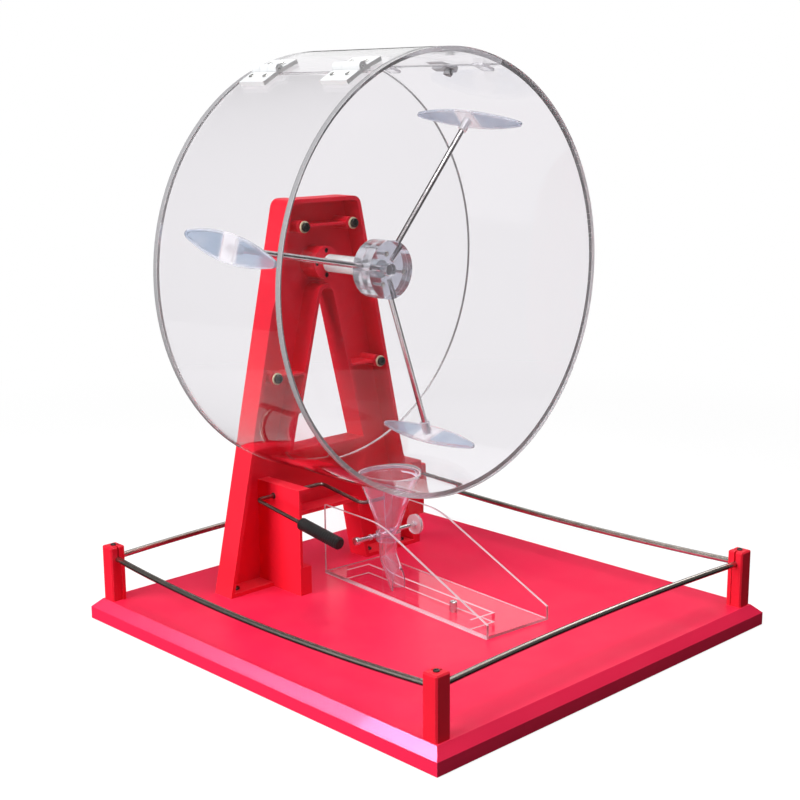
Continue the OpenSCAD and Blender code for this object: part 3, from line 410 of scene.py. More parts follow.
def made(
    node: str,
    shape: Shape,
    finish: "Finish",
    body: Body = Body.MACHINE,
    bevel: float = 0.0,
    sharp: float = SHARP,
) -> bpy.types.Object:
    """Makes a piece from a worked-out surface, whose seams and poles are merged here.

    Args:
        node: the solid, which the piece replaces and is named after.
        shape: its surface.
        finish: what it is made of.
        body: the body that it rides on.
        bevel: the rounding of its edges in millimetres.
        sharp: the angle over which an edge stays sharp.

    Returns:
        The piece.
    """
    raw = bpy.data.meshes.new(node + "_raw")
    loops = np.concatenate([f.ravel() for f in shape.faces]).astype(np.int32)
    sizes = np.concatenate([np.full(len(f), f.shape[1]) for f in shape.faces])
    raw.vertices.add(len(shape.points))
    raw.vertices.foreach_set("co", (shape.points * MM).astype(np.float32).ravel())
    raw.loops.add(len(loops))
    raw.loops.foreach_set("vertex_index", loops)
    raw.polygons.add(len(sizes))
    raw.polygons.foreach_set("loop_start", (np.cumsum(sizes) - sizes).astype(np.int32))
    if shape.milk is not None:
        milk = raw.attributes.new("milk", "FLOAT", "POINT")
        milk.data.foreach_set("value", shape.milk.astype(np.float32))
    raw.update(calc_edges=True)
    bm = bmesh.new()
    bm.from_mesh(raw)
    bpy.data.meshes.remove(raw)
    bmesh.ops.remove_doubles(bm, verts=bm.verts, dist=MERGE)
    return placed(smooth_mesh(bm, node, bevel, sharp), node, finish, body)


def refined(
    node: str, finish: "Finish", bevel: float, body: Body = Body.MACHINE, shrink: float = 0.0
) -> bpy.types.Object:
    """Makes a piece from a solid: its triangles are merged, its flats joined and its edges rounded.

    Args:
        node: the solid, which the piece replaces and is named after.
        finish: what it is made of.
        bevel: the rounding of its edges in millimetres.
        body: the body that it rides on.
        shrink: how far each face is drawn in, in millimetres, so that clear pieces don't share a face.

    Returns:
        The piece.
    """
    bm = bmesh.new()
    bm.from_mesh(bpy.data.objects[node].data)
    bmesh.ops.remove_doubles(bm, verts=bm.verts, dist=MERGE)
    bmesh.ops.dissolve_limit(bm, angle_limit=math.radians(0.4), verts=bm.verts, edges=bm.edges)
    bmesh.ops.recalc_face_normals(bm, faces=bm.faces)
    if shrink:
        for vert in bm.verts:
            vert.co -= vert.normal * vert.calc_shell_factor() * shrink * MM
    return placed(smooth_mesh(bm, node, bevel, SHARP), node, finish, body)


class Sawn(Enum):
    """How a clear sheet's sawn edges are told from its polished faces."""

    OFF_DIRECTION = "faces that don't look along one direction"
    OFF_RADIUS = "faces that don't look along the drum's radius"
    LEVEL = "faces that look up or down"


def saw_edges(
    piece: bpy.types.Object,
    finish: "Finish",
    kind: Sawn,
    direction: Sequence[float] = (0, 1, 0),
    limit: float = 0.9,
) -> None:
    """Gives a sheet's narrow faces their own finish, by how far each face's normal follows a direction.

    Args:
        piece: the sheet.
        finish: the edges' finish.
        kind: how the edges are told.
        direction: the direction of the sheet's thickness.
        limit: how closely a polished face's normal follows the direction.
    """
    polygons = piece.data.polygons
    normals, middles = np.empty((len(polygons), 3)), np.empty((len(polygons), 3))
    polygons.foreach_get("normal", normals.ravel())
    polygons.foreach_get("center", middles.ravel())
    if kind is Sawn.OFF_RADIUS:
        way = middles * (1, 0, 1) - (0, 0, AXIS_Z * MM)
        way /= np.linalg.norm(way, axis=1)[:, None]
        follows = np.abs((normals * way).sum(1))
    elif kind is Sawn.LEVEL:
        follows = 1 - np.abs(normals[:, 2])
    else:
        follows = np.abs(normals @ np.asarray(direction, float))
    piece.data.materials.append(finish.material())
    polygons.foreach_set("material_index", (follows < limit).astype(np.int32))


# Shader groups


class Wiring:
    """Adds and joins the nodes of one tree."""

    def __init__(self, tree: bpy.types.NodeTree) -> None:
        """Keeps the tree.

        Args:
            tree: a material's, world's or group's node tree.
        """
        self.tree = tree

    def add(self, kind: str, inputs: dict | None = None, **settings: object) -> bpy.types.Node:
        """Adds a node.

        Args:
            kind: the node's type.
            inputs: values or sockets for its inputs, by name or place.
            **settings: its own settings.

        Returns:
            The node.
        """
        node = self.tree.nodes.new(kind)
        for key, value in settings.items():
            setattr(node, key, value)
        for key, value in (inputs or {}).items():
            self.feed(node.inputs[key], value)
        return node

    def feed(self, socket: bpy.types.NodeSocket, value: object) -> None:
        """Sets an input, or joins it to another node's output.

        Args:
            socket: the input.
            value: a number, a colour or an output socket.
        """
        if isinstance(value, bpy.types.NodeSocket):
            self.tree.links.new(value, socket)
        else:
            socket.default_value = value

    def math(self, operation: str, *values: object, clamp: bool = False) -> bpy.types.NodeSocket:
        """Adds a Math node.

        Args:
            operation: its operation.
            *values: numbers or sockets.
            clamp: keeps the result from 0 to 1.

        Returns:
            Its output.
        """
        node = self.add("ShaderNodeMath", dict(enumerate(values)), operation=operation, use_clamp=clamp)
        return node.outputs[0]

    def blend(self, factor: object, low: object, high: object) -> bpy.types.NodeSocket:
        """Mixes two colours.

        Args:
            factor: the share of the second colour.
            low: the first colour or socket.
            high: the second colour or socket.

        Returns:
            The mixed colour.
        """
        node = self.add("ShaderNodeMix", data_type="RGBA")
        self.feed(node.inputs[0], factor)
        self.feed(node.inputs[6], low)
        self.feed(node.inputs[7], high)
        return node.outputs[2]

    def noise(self, scale: object, detail: float, vector: object = None) -> bpy.types.NodeSocket:
        """Adds a noise on the piece's own coordinates.

        Args:
            scale: how fine the noise is, per metre.
            detail: its detail.
            vector: coordinates, or None for the piece's own.

        Returns:
            The noise's value.
        """
        place = vector or self.add("ShaderNodeTexCoord").outputs["Object"]
        return self.add("ShaderNodeTexNoise", {"Vector": place, "Scale": scale, "Detail": detail}).outputs[0]

    def ramp(self, value: object, low: float, high: float) -> bpy.types.NodeSocket:
        """Maps a value's part from low to high smoothly onto 0 to 1.

        Args:
            value: the value's socket.
            low: what becomes 0.
            high: what becomes 1.

        Returns:
            The mapped value.
        """
        node = self.add("ShaderNodeMapRange", {0: value, 1: low, 2: high}, interpolation_type="SMOOTHSTEP")
        return node.outputs[0]


def group(
    name: str, inputs: dict[str, float], outputs: Sequence[str]
) -> tuple[bpy.types.NodeTree, Wiring, dict]:
    """Starts a shader group with named sockets.

    Args:
        name: the group's name.
        inputs: its inputs and their plain values.
        outputs: the names of its outputs.

    Returns:
        The group, its wiring, and its input sockets and output node by name.
    """
    tree = bpy.data.node_groups.new(name, "ShaderNodeTree")
    for key, value in inputs.items():
        socket = tree.interface.new_socket(name=key, in_out="INPUT", socket_type="NodeSocketFloat")
        socket.default_value = value
    for key in outputs:
        tree.interface.new_socket(name=key, in_out="OUTPUT", socket_type="NodeSocketFloat")
    wires = Wiring(tree)
    start, end = wires.add("NodeGroupInput"), wires.add("NodeGroupOutput")
    return tree, wires, {**{k: start.outputs[k] for k in inputs}, "end": end}


def skin_group() -> bpy.types.NodeTree:
    """Builds the moulded or lacquered skin: slow blotches, uneven gloss and a fine grain.

    Returns:
        The group.
    """
    tree, w, io = group(
        "moulded_skin",
        {"Scale": 120.0, "Roughness": 0.35, "Spread": 0.05, "Grain": 1.0},
        ("Blotch", "Roughness", "Height"),
    )
    slow = w.noise(w.math("MULTIPLY", io["Scale"], 0.12), 3.0)
    fine = w.noise(io["Scale"], 4.0)
    grain = w.noise(w.math("MULTIPLY", io["Scale"], 9.0), 2.0)
    uneven = w.math("MULTIPLY", w.math("SUBTRACT", w.math("ADD", slow, fine), 1.0), io["Spread"])
    w.feed(io["end"].inputs["Blotch"], w.ramp(slow, 0.3, 0.7))
    w.feed(io["end"].inputs["Roughness"], w.math("ADD", io["Roughness"], uneven, clamp=True))
    height = w.math("ADD", w.math("MULTIPLY", grain, io["Grain"]), w.math("MULTIPLY", fine, 0.6))
    w.feed(io["end"].inputs["Height"], height)
    return tree


def wear_group() -> bpy.types.NodeTree:
    """Builds edge wear: where a normal rounded over a radius leaves the true one, broken up by a noise.

    Returns:
        The group.
    """
    tree, w, io = group("edge_wear", {"Radius": 0.0008, "Amount": 0.5, "Scale": 300.0}, ("Mask",))
    soft = w.add("ShaderNodeBevel", {"Radius": io["Radius"]}, samples=3)
    plain = w.add("ShaderNodeNewGeometry")
    normals = {0: soft.outputs[0], 1: plain.outputs["Normal"]}
    same = w.add("ShaderNodeVectorMath", normals, operation="DOT_PRODUCT")
    edge = w.ramp(w.math("SUBTRACT", 1.0, same.outputs["Value"]), 0.02, 0.2)
    broken = w.ramp(w.noise(io["Scale"], 4.0), 0.38, 0.62)
    mask = w.math("MULTIPLY", w.math("MULTIPLY", edge, broken), io["Amount"], clamp=True)
    w.feed(io["end"].inputs["Mask"], mask)
    return tree


def dust_group() -> bpy.types.NodeTree:
    """Builds a light dust on faces that look up, in soft patches and specks.

    Returns:
        The group.
    """
    tree, w, io = group("settled_dust", {"Amount": 0.1, "Scale": 40.0}, ("Mask",))
    up = w.add("ShaderNodeSeparateXYZ", {0: w.add("ShaderNodeNewGeometry").outputs["Normal"]}).outputs[2]
    patches = w.ramp(w.noise(io["Scale"], 5.0), 0.35, 0.75)
    specks = w.ramp(w.noise(w.math("MULTIPLY", io["Scale"], 45.0), 1.0), 0.68, 0.76)
    level = w.ramp(up, 0.5, 0.95)
    lies = w.math("MULTIPLY", level, w.math("ADD", w.math("MULTIPLY", patches, 0.6), specks))
    w.feed(io["end"].inputs["Mask"], w.math("MULTIPLY", lies, io["Amount"], clamp=True))
    return tree


def scratch_group() -> bpy.types.NodeTree:
    """Builds hairline scratches in two directions: noises stretched many times longer than wide.

    Returns:
        The group.
    """
    tree, w, io = group(
        "hairline_scratches", {"Scale": 60.0, "Roughness": 0.03, "Amount": 0.1}, ("Roughness", "Height")
    )
    place = w.add("ShaderNodeTexCoord").outputs["Object"]
    lines = []
    for turn in ((0.3, 0.9, 0.2), (1.1, -0.4, 0.7)):
        stretch = {"Vector": place, "Rotation": turn, "Scale": (1.0, 34.0, 34.0)}
        mapped = w.add("ShaderNodeMapping", stretch, vector_type="POINT")
        lines.append(w.ramp(w.noise(io["Scale"], 2.0, mapped.outputs[0]), 0.66, 0.72))
    both = w.math("MAXIMUM", *lines)
    smear = w.ramp(w.noise(9.0, 3.0), 0.45, 0.75)
    rough = w.math("MULTIPLY", w.math("ADD", both, w.math("MULTIPLY", smear, 0.4)), io["Amount"])
    w.feed(io["end"].inputs["Roughness"], w.math("ADD", io["Roughness"], rough, clamp=True))
    w.feed(io["end"].inputs["Height"], w.math("MULTIPLY", both, -1.0))
    return tree


def drawn_group() -> bpy.types.NodeTree:
    """Builds the fine lines and dull spots of drawn or turned metal.

    Returns:
        The group.
    """
    tree, w, io = group(
        "drawn_lines",
        {"Scale": 500.0, "Roughness": 0.1, "Spread": 0.05},
        ("Blotch", "Roughness", "Height"),
    )
    fine = w.noise(io["Scale"], 3.0)
    spots = w.noise(w.math("MULTIPLY", io["Scale"], 0.15), 4.0)
    uneven = w.math("MULTIPLY", w.math("SUBTRACT", w.math("ADD", fine, spots), 1.0), io["Spread"])
    w.feed(io["end"].inputs["Blotch"], w.ramp(spots, 0.35, 0.7))
    w.feed(io["end"].inputs["Roughness"], w.math("ADD", io["Roughness"], uneven, clamp=True))
    w.feed(io["end"].inputs["Height"], fine)
    return tree


GROUPS = {
    "skin": skin_group,
    "wear": wear_group,
    "dust": dust_group,
    "scratch": scratch_group,
    "drawn": drawn_group,
}


def shared_group(key: str) -> bpy.types.NodeTree:
    """Finds a shader group, or builds it the first time.

    Args:
        key: its short name.

    Returns:
        The group.
    """
    tag = "group:" + key
    for tree in bpy.data.node_groups:
        if tree.get("tag") == tag:
            return tree
    tree = GROUPS[key]()
    tree["tag"] = tag
    return tree


def use_group(w: Wiring, key: str, **inputs: float) -> bpy.types.Node:
    """Places a shared group in a material.

    Args:
        w: the material's wiring.
        key: the group's short name.
        **inputs: values for its inputs, with spaces as underscores.

    Returns:
        The group's node.
    """
    node = w.add("ShaderNodeGroup", node_tree=shared_group(key))
    for name, value in inputs.items():
        w.feed(node.inputs[name.replace("_", " ")], value)
    return node


def shaded(colour: Colour, share: float) -> tuple[float, float, float, float]:
    """A colour made lighter or darker.

    Args:
        colour: the colour.
        share: what it is multiplied by.

    Returns:
        The colour with an opaque fourth value.
    """
    return (*(min(1.0, c * share) for c in colour), 1.0)


# Finishes


DUST_GREY = (0.78, 0.75, 0.73, 1.0)


@dataclass(frozen=True)
class Finish:
    """What a piece is made of, and a slot name for it; the kinds below build its nodes."""

    name: str
    slot: str
    colour: Colour
    roughness: float

    def material(self) -> bpy.types.Material:
        """Finds the finish's material, or builds it the first time it is asked for.

        Returns:
            The material.
        """
        found = bpy.data.materials.get(self.name)
        if found:
            return found
        material = bpy.data.materials.new(self.name)
        material.use_nodes = True
        material.node_tree.nodes.clear()
        w = Wiring(material.node_tree)
        plain = {"Base Color": (*self.colour, 1.0), "Roughness": self.roughness}
        shader = w.add("ShaderNodeBsdfPrincipled", plain)
        out = w.add("ShaderNodeOutputMaterial")
        w.feed(out.inputs["Surface"], shader.outputs[0])
        self.dress(w, shader)
        return material

    def dress(self, w: Wiring, shader: bpy.types.Node) -> None:
        """Wires the finish's own look.

        Args:
            w: the material's wiring.
            shader: its shader.
        """

    @staticmethod
    def bump(
        w: Wiring, shader: bpy.types.Node, height: bpy.types.NodeSocket, depth: float, strength: float
    ) -> None:
        """Gives the surface its relief.

        Args:
            w: the material's wiring.
            shader: its shader.
            height: the relief.
            depth: its depth in metres.
            strength: its strength.
        """
        node = w.add("ShaderNodeBump", {"Strength": strength, "Distance": depth, "Height": height})
        w.feed(shader.inputs["Normal"], node.outputs[0])


@dataclass(frozen=True)
class Moulded(Finish):
    """Lacquered wood or moulded plastic, with worn edges and a little dust."""

    worn: Colour = (0.9, 0.5, 0.5)
    wear: float = 0.3
    dust: float = 0.06
    scale: float = 120.0
    grain: float = 1.0
    relief: float = 0.12
    depth: float = 0.00012
    mottle: float = 0.04
    spread: float = 0.07
    specular: float = 0.4

    def dress(self, w: Wiring, shader: bpy.types.Node) -> None:
        """Wires blotches, worn edges, dust, uneven gloss and grain.

        Args:
            w: the material's wiring.
            shader: its shader.
        """
        skin = use_group(
            w, "skin", Scale=self.scale, Roughness=self.roughness, Spread=self.spread, Grain=self.grain
        )
        low, high = shaded(self.colour, 1 - self.mottle), shaded(self.colour, 1 + self.mottle)
        base = w.blend(skin.outputs["Blotch"], low, high)
        edge = use_group(w, "wear", Radius=0.0007, Amount=self.wear, Scale=320.0)
        base = w.blend(edge.outputs["Mask"], base, (*self.worn, 1.0))
        dust = use_group(w, "dust", Amount=self.dust, Scale=30.0)
        base = w.blend(dust.outputs["Mask"], base, DUST_GREY)
        w.feed(shader.inputs["Base Color"], base)
        dulled = w.math("MULTIPLY", dust.outputs["Mask"], 0.5)
        rough = w.math("ADD", skin.outputs["Roughness"], dulled, clamp=True)
        w.feed(shader.inputs["Roughness"], rough)
        shader.inputs["Specular IOR Level"].default_value = self.specular
        self.bump(w, shader, skin.outputs["Height"], self.depth, self.relief)


@dataclass(frozen=True)
class Metal(Finish):
    """Polished, drawn or blackened metal."""

    dull: Colour = (0.4, 0.38, 0.36)
    dullness: float = 0.3
    scale: float = 500.0
    spread: float = 0.06
    relief: float = 0.05
    edge: Colour = (1.0, 1.0, 1.0)

    def dress(self, w: Wiring, shader: bpy.types.Node) -> None:
        """Wires dull spots, uneven polish and fine lines.

        Args:
            w: the material's wiring.
            shader: its shader.
        """
        drawn = use_group(w, "drawn", Scale=self.scale, Roughness=self.roughness, Spread=self.spread)
        spots = w.math("MULTIPLY", drawn.outputs["Blotch"], self.dullness)
        w.feed(shader.inputs["Base Color"], w.blend(spots, (*self.colour, 1.0), (*self.dull, 1.0)))
        w.feed(shader.inputs["Roughness"], drawn.outputs["Roughness"])
        shader.inputs["Metallic"].default_value = 1.0
        shader.inputs["Specular Tint"].default_value = (*self.edge, 1.0)
        self.bump(w, shader, drawn.outputs["Height"], 0.00003, self.relief)


@dataclass(frozen=True)
class Acrylic(Finish):
    """Clear or milky plastic that lets the lamps' light through."""

    clear: float = 1.0
    shade: float = 0.1
    scratches: float = 0.05
    ior: float = 1.49

    def dress(self, w: Wiring, shader: bpy.types.Node) -> None:
        """Wires hairline scratches, and thins the plastic for light on its way to other pieces.

        Args:
            w: the material's wiring.
            shader: its shader.
        """
        lines = use_group(w, "scratch", Scale=45.0, Roughness=self.roughness, Amount=self.scratches)
        w.feed(shader.inputs["Roughness"], lines.outputs["Roughness"])
        shader.inputs["IOR"].default_value = self.ior
        shader.inputs["Transmission Weight"].default_value = self.clear
        rays = w.add("ShaderNodeLightPath")
        passing = w.math("MAXIMUM", rays.outputs["Is Shadow Ray"], rays.outputs["Is Diffuse Ray"])
        solid = w.math("SUBTRACT", 1.0, w.math("MULTIPLY", passing, 1.0 - self.shade))
        w.feed(shader.inputs["Alpha"], solid)
        self.bump(w, shader, lines.outputs["Height"], 0.000004, 0.05)


@dataclass(frozen=True)
class Milky(Acrylic):
    """Lilac plastic that turns milky where the piece's own attribute says so."""

    milk: Colour = (0.93, 0.92, 0.95)

    def dress(self, w: Wiring, shader: bpy.types.Node) -> None:
        """Adds the milky parts and a light cloudiness.

        Args:
            w: the material's wiring.
            shader: its shader.
        """
        super().dress(w, shader)
        milky = w.add("ShaderNodeAttribute", attribute_name="milk").outputs["Fac"]
        cloud = w.math("MULTIPLY", w.ramp(w.noise(55.0, 3.0), 0.35, 0.7), 0.22)
        share = w.math("ADD", milky, cloud, clamp=True)
        w.feed(shader.inputs["Base Color"], w.blend(share, (*self.colour, 1.0), (*self.milk, 1.0)))


BOARD = Moulded(
    "board_lacquer", "board_red", (0.9, 0.02, 0.08), 0.34, worn=(0.95, 0.35, 0.4), dust=0.02, relief=0.08,
    mottle=0.012, spread=0.03, specular=0.15,
)
STAND = Moulded(
    "stand_moulding", "stand_red", (0.84, 0.012, 0.035), 0.38, worn=(0.95, 0.3, 0.32), scale=90.0,
    relief=0.14, specular=0.3,
)
POST = Moulded(
    "post_moulding", "post_red", (0.84, 0.012, 0.035), 0.34, worn=(0.95, 0.3, 0.32), scale=160.0,
    specular=0.2,
)
CATCH_GREY = Moulded(
    "catch_bar_plastic", "catch_grey", (0.3, 0.3, 0.31), 0.35, worn=(0.6, 0.6, 0.6), scale=300.0
)
WASHER = Moulded(
    "washer_nylon", "washer_cream", (0.72, 0.62, 0.42), 0.5, worn=(0.85, 0.8, 0.7), wear=0.2, scale=500.0
)
NYLON = Moulded(
    "lever_bush_nylon", "bush_nylon", (0.03, 0.03, 0.032), 0.5, worn=(0.2, 0.2, 0.2), wear=0.4,
    scale=500.0,
)
SWITCH = Moulded(
    "switch_plastic", "switch_black", (0.02, 0.02, 0.021), 0.38, worn=(0.15, 0.15, 0.15), scale=420.0
)
GRIP = Moulded(
    "grip_rubber", "grip_black", (0.007, 0.008, 0.008), 0.42, worn=(0.04, 0.04, 0.04), dust=0.01,
    scale=700.0, grain=3.0, relief=0.6, depth=0.0004, specular=0.3,
)
RAIL_STEEL = Metal(
    "polished_rod", "chrome_rod", (0.48, 0.43, 0.39), 0.25, dull=(0.24, 0.2, 0.17), spread=0.012
)
SPOKE_STEEL = Metal(
    "polished_spoke", "chrome_rod", (0.56, 0.54, 0.54), 0.13, dull=(0.3, 0.25, 0.25), spread=0.015
)
SHAFT_STEEL = Metal("turned_shaft", "chrome_rod", (0.5, 0.5, 0.53), 0.38, dull=(0.35, 0.35, 0.38))
LEVER_STEEL = Metal(
    "lever_rod_steel", "lever_steel", (0.22, 0.175, 0.155), 0.3, dull=(0.1, 0.08, 0.07), dullness=0.6,
    spread=0.02, edge=(0.7, 0.65, 0.6),
)
DARK_STEEL = Metal(
    "blackened_steel", "screw_dark", (0.07, 0.07, 0.065), 0.32, dull=(0.16, 0.15, 0.13), scale=900.0
)
BRIGHT_STEEL = Metal("bright_steel", "screw_bright", (0.72, 0.72, 0.71), 0.2, scale=900.0)
MOTOR_STEEL = Metal(
    "motor_case_steel", "motor_steel", (0.55, 0.55, 0.56), 0.3, dull=(0.35, 0.35, 0.35), scale=400.0
)
BRONZE = Metal(
    "bush_bronze", "bearing_bronze", (0.6, 0.38, 0.16), 0.38, dull=(0.3, 0.18, 0.08), scale=800.0
)
CLEAR = Acrylic("clear_acrylic", "acrylic_clear", (0.945, 0.934, 0.95), 0.0, ior=1.26)
TRAY_CLEAR = Acrylic("tray_acrylic", "acrylic_clear", (0.98, 0.95, 0.965), 0.01, scratches=0.1, ior=1.16)
# Funnel, collar and chute are clear plastic. Their pink-lilac tint is painted colour, standing in for the red
# stand and board seen through them.
FUNNEL_CLEAR_PAINTED_PINK = Acrylic(
    "funnel_acrylic_painted_pink", "acrylic_clear", (0.95, 0.78, 0.9), 0.015, clear=0.95, scratches=0.08
)
WHEEL_CLEAR = Acrylic("wheel_acrylic", "acrylic_clear", (0.88, 0.8, 0.86), 0.08, clear=0.7, shade=0.3)
SAWN_EDGE = Acrylic(
    "sawn_acrylic_edge", "acrylic_clear", (0.85, 0.84, 0.87), 0.17, clear=0.64, shade=0.3, scratches=0.2
)
# Frosted edges of the tray sheets and the funnel. Their pink colour is painted red light, standing in for the
# light that clear edges pick up from the red board and stand.
TRAY_EDGE_PAINTED_PINK = Acrylic(
    "acrylic_edge_painted_red_light", "acrylic_clear", (0.82, 0.58, 0.64), 0.3, clear=0.3, shade=0.3, scratches=0.15
)
HINGE = Acrylic("hinge_plastic", "hinge_white", (0.76, 0.77, 0.78), 0.3, clear=0.12, shade=1.0)
FROST = Acrylic("frosted_sleeve_tube", "sleeve_frost", (0.84, 0.92, 0.91), 0.22, clear=0.6, shade=0.3)
HUB_LILAC = Acrylic(
    "hub_acrylic", "acrylic_lilac", (0.82, 0.83, 0.88), 0.03, clear=0.93, shade=0.3, scratches=0.15
)
PADDLE_LILAC = Milky(
    "paddle_acrylic", "acrylic_lilac", (0.46, 0.53, 0.64), 0.08, clear=0.72, shade=0.4, scratches=0.15
)


# Screws


@dataclass(frozen=True)
class CapScrew:
    """A round-headed screw with a hexagon socket; heights are measured outwards from the head's foot."""

    head_r: float
    head_t: float
    shank_r: float
    shank_len: float
    soft: float = 0.5

    def shape(self, origin: Sequence[float], direction: Sequence[float]) -> Shape:
        """Turns the screw's profile: socket floor, socket wall, rounded head, shank and a chamfered end.

        Args:
            origin: the middle of the head's foot.
            direction: where the head points.

        Returns:
            The screw.
        """
        r, t, s, q = self.head_r, self.head_t, self.shank_r, self.soft
        hole, floor, end = 0.48 * r, 0.45 * t, -self.shank_len
        foot_chamfer, end_chamfer = 0.12, 0.4
        a = np.linspace(0, math.pi / 2, 6)
        curve = np.stack([t - q + q * np.cos(a), r - q + q * np.sin(a), np.zeros(len(a))], 1)
        rows = np.vstack([
            [[floor, 0, 1], [floor, hole, 1], [t - 0.15, hole, 1], [t, hole + 0.2, 0.5]],
            curve,
            [[foot_chamfer, r, 0], [0, r - foot_chamfer, 0], [0, s, 0]],
            [[end_chamfer + end, s, 0], [end, 0.75 * s, 0], [end, 0, 0]],
        ])
        return turned(rows, origin, direction, steps=48)


# Base


# How far the middle of each rail lies aside, towards -X or +Y, and down
RAIL_BOWS = {"left": (9, 4.5), "right": (6, 3), "front": (4, -2.5), "back": (5, -3)}


@dataclass
class Base:
    """The board, its four posts and the bowed rails between them."""

    post_x: float = 221.5
    post_y: float = 235.0
    post_size: float = 17.0
    post_top: float = 80.0
    rail_z: float = 66.5
    rail_r: float = 3.0
    rail_bury: float = 5.0
    foot_xs: tuple[float, ...] = (-122, -70, 70, 122)
    foot_y: float = 158.75
    foot_z: float = 25.8

    def rail(self, side: str) -> Shape:
        """One rail: a circle carried along an arc whose middle is moved aside and down.

        The arc through both ends with bow b has radius (L*L/4 + b*b) / (2*b).

        Args:
            side: left, right, front or back.

        Returns:
            The rail.
        """
        aside, down = RAIL_BOWS[side]
        lengthways = side in ("left", "right")
        half = (self.post_y if lengthways else self.post_x) - self.post_size / 2 + self.rail_bury
        bow = math.hypot(aside, down)
        big = (half**2 + bow**2) / (2 * bow)
        s = np.linspace(-half, half, 97)
        rise = np.sqrt(big**2 - s**2) - (big - bow)
        out, up = rise * aside / bow, rise * -down / bow
        if lengthways:
            x = self.post_x if side == "right" else -self.post_x
            path = np.stack([x - out, s, self.rail_z + up], 1)
        else:
            y = self.post_y if side == "back" else -self.post_y
            path = np.stack([s, y + out, self.rail_z + up], 1)
        return swept(path, self.rail_r, (0, 0, 1), sides=40)

    def screws(self) -> None:
        """Adds the posts' top screws, and the screws under the posts and in the stand's feet."""
        corners = [(x, y) for x in (-self.post_x, self.post_x) for y in (-self.post_y, self.post_y)]
        top = CapScrew(head_r=2.8, head_t=1.5, shank_r=1.5, shank_len=8.0, soft=0.4)
        shapes = [top.shape((x, y, self.post_top), (0, 0, 1)) for x, y in corners]
        made("post_set_screws", joined(shapes), DARK_STEEL)
        foot = CapScrew(head_r=4.0, head_t=2.4, shank_r=2.0, shank_len=17.8, soft=0.9)
        shapes = [foot.shape((x, self.foot_y, self.foot_z), (0, 0, 1)) for x in self.foot_xs]
        sunk = np.array([
            [0.9, 0, 1], [0.9, 1.6, 1], [0, 1.7, 1], [0, 4.0, 0], [2.4, 2.0, 0], [43.5, 2.0, 0], [44, 0, 0]
        ])
        shapes += [turned(sunk, (x, y, 0), (0, 0, 1), steps=48) for x, y in corners]
        made("base_screws", joined(shapes), DARK_STEEL)

    def build(self) -> None:
        """Builds the board, posts, rails and screws."""
        board = refined("base_board", BOARD, bevel=0.5)
        bpy.data.collections[GLARE_LIT].objects.link(board)
        for corner in ("front", "right", "left", "back"):
            refined("post_" + corner, POST, bevel=0.35)
            made("rail_" + corner, self.rail(corner), RAIL_STEEL, bevel=0.4)
        self.screws()


# Stand


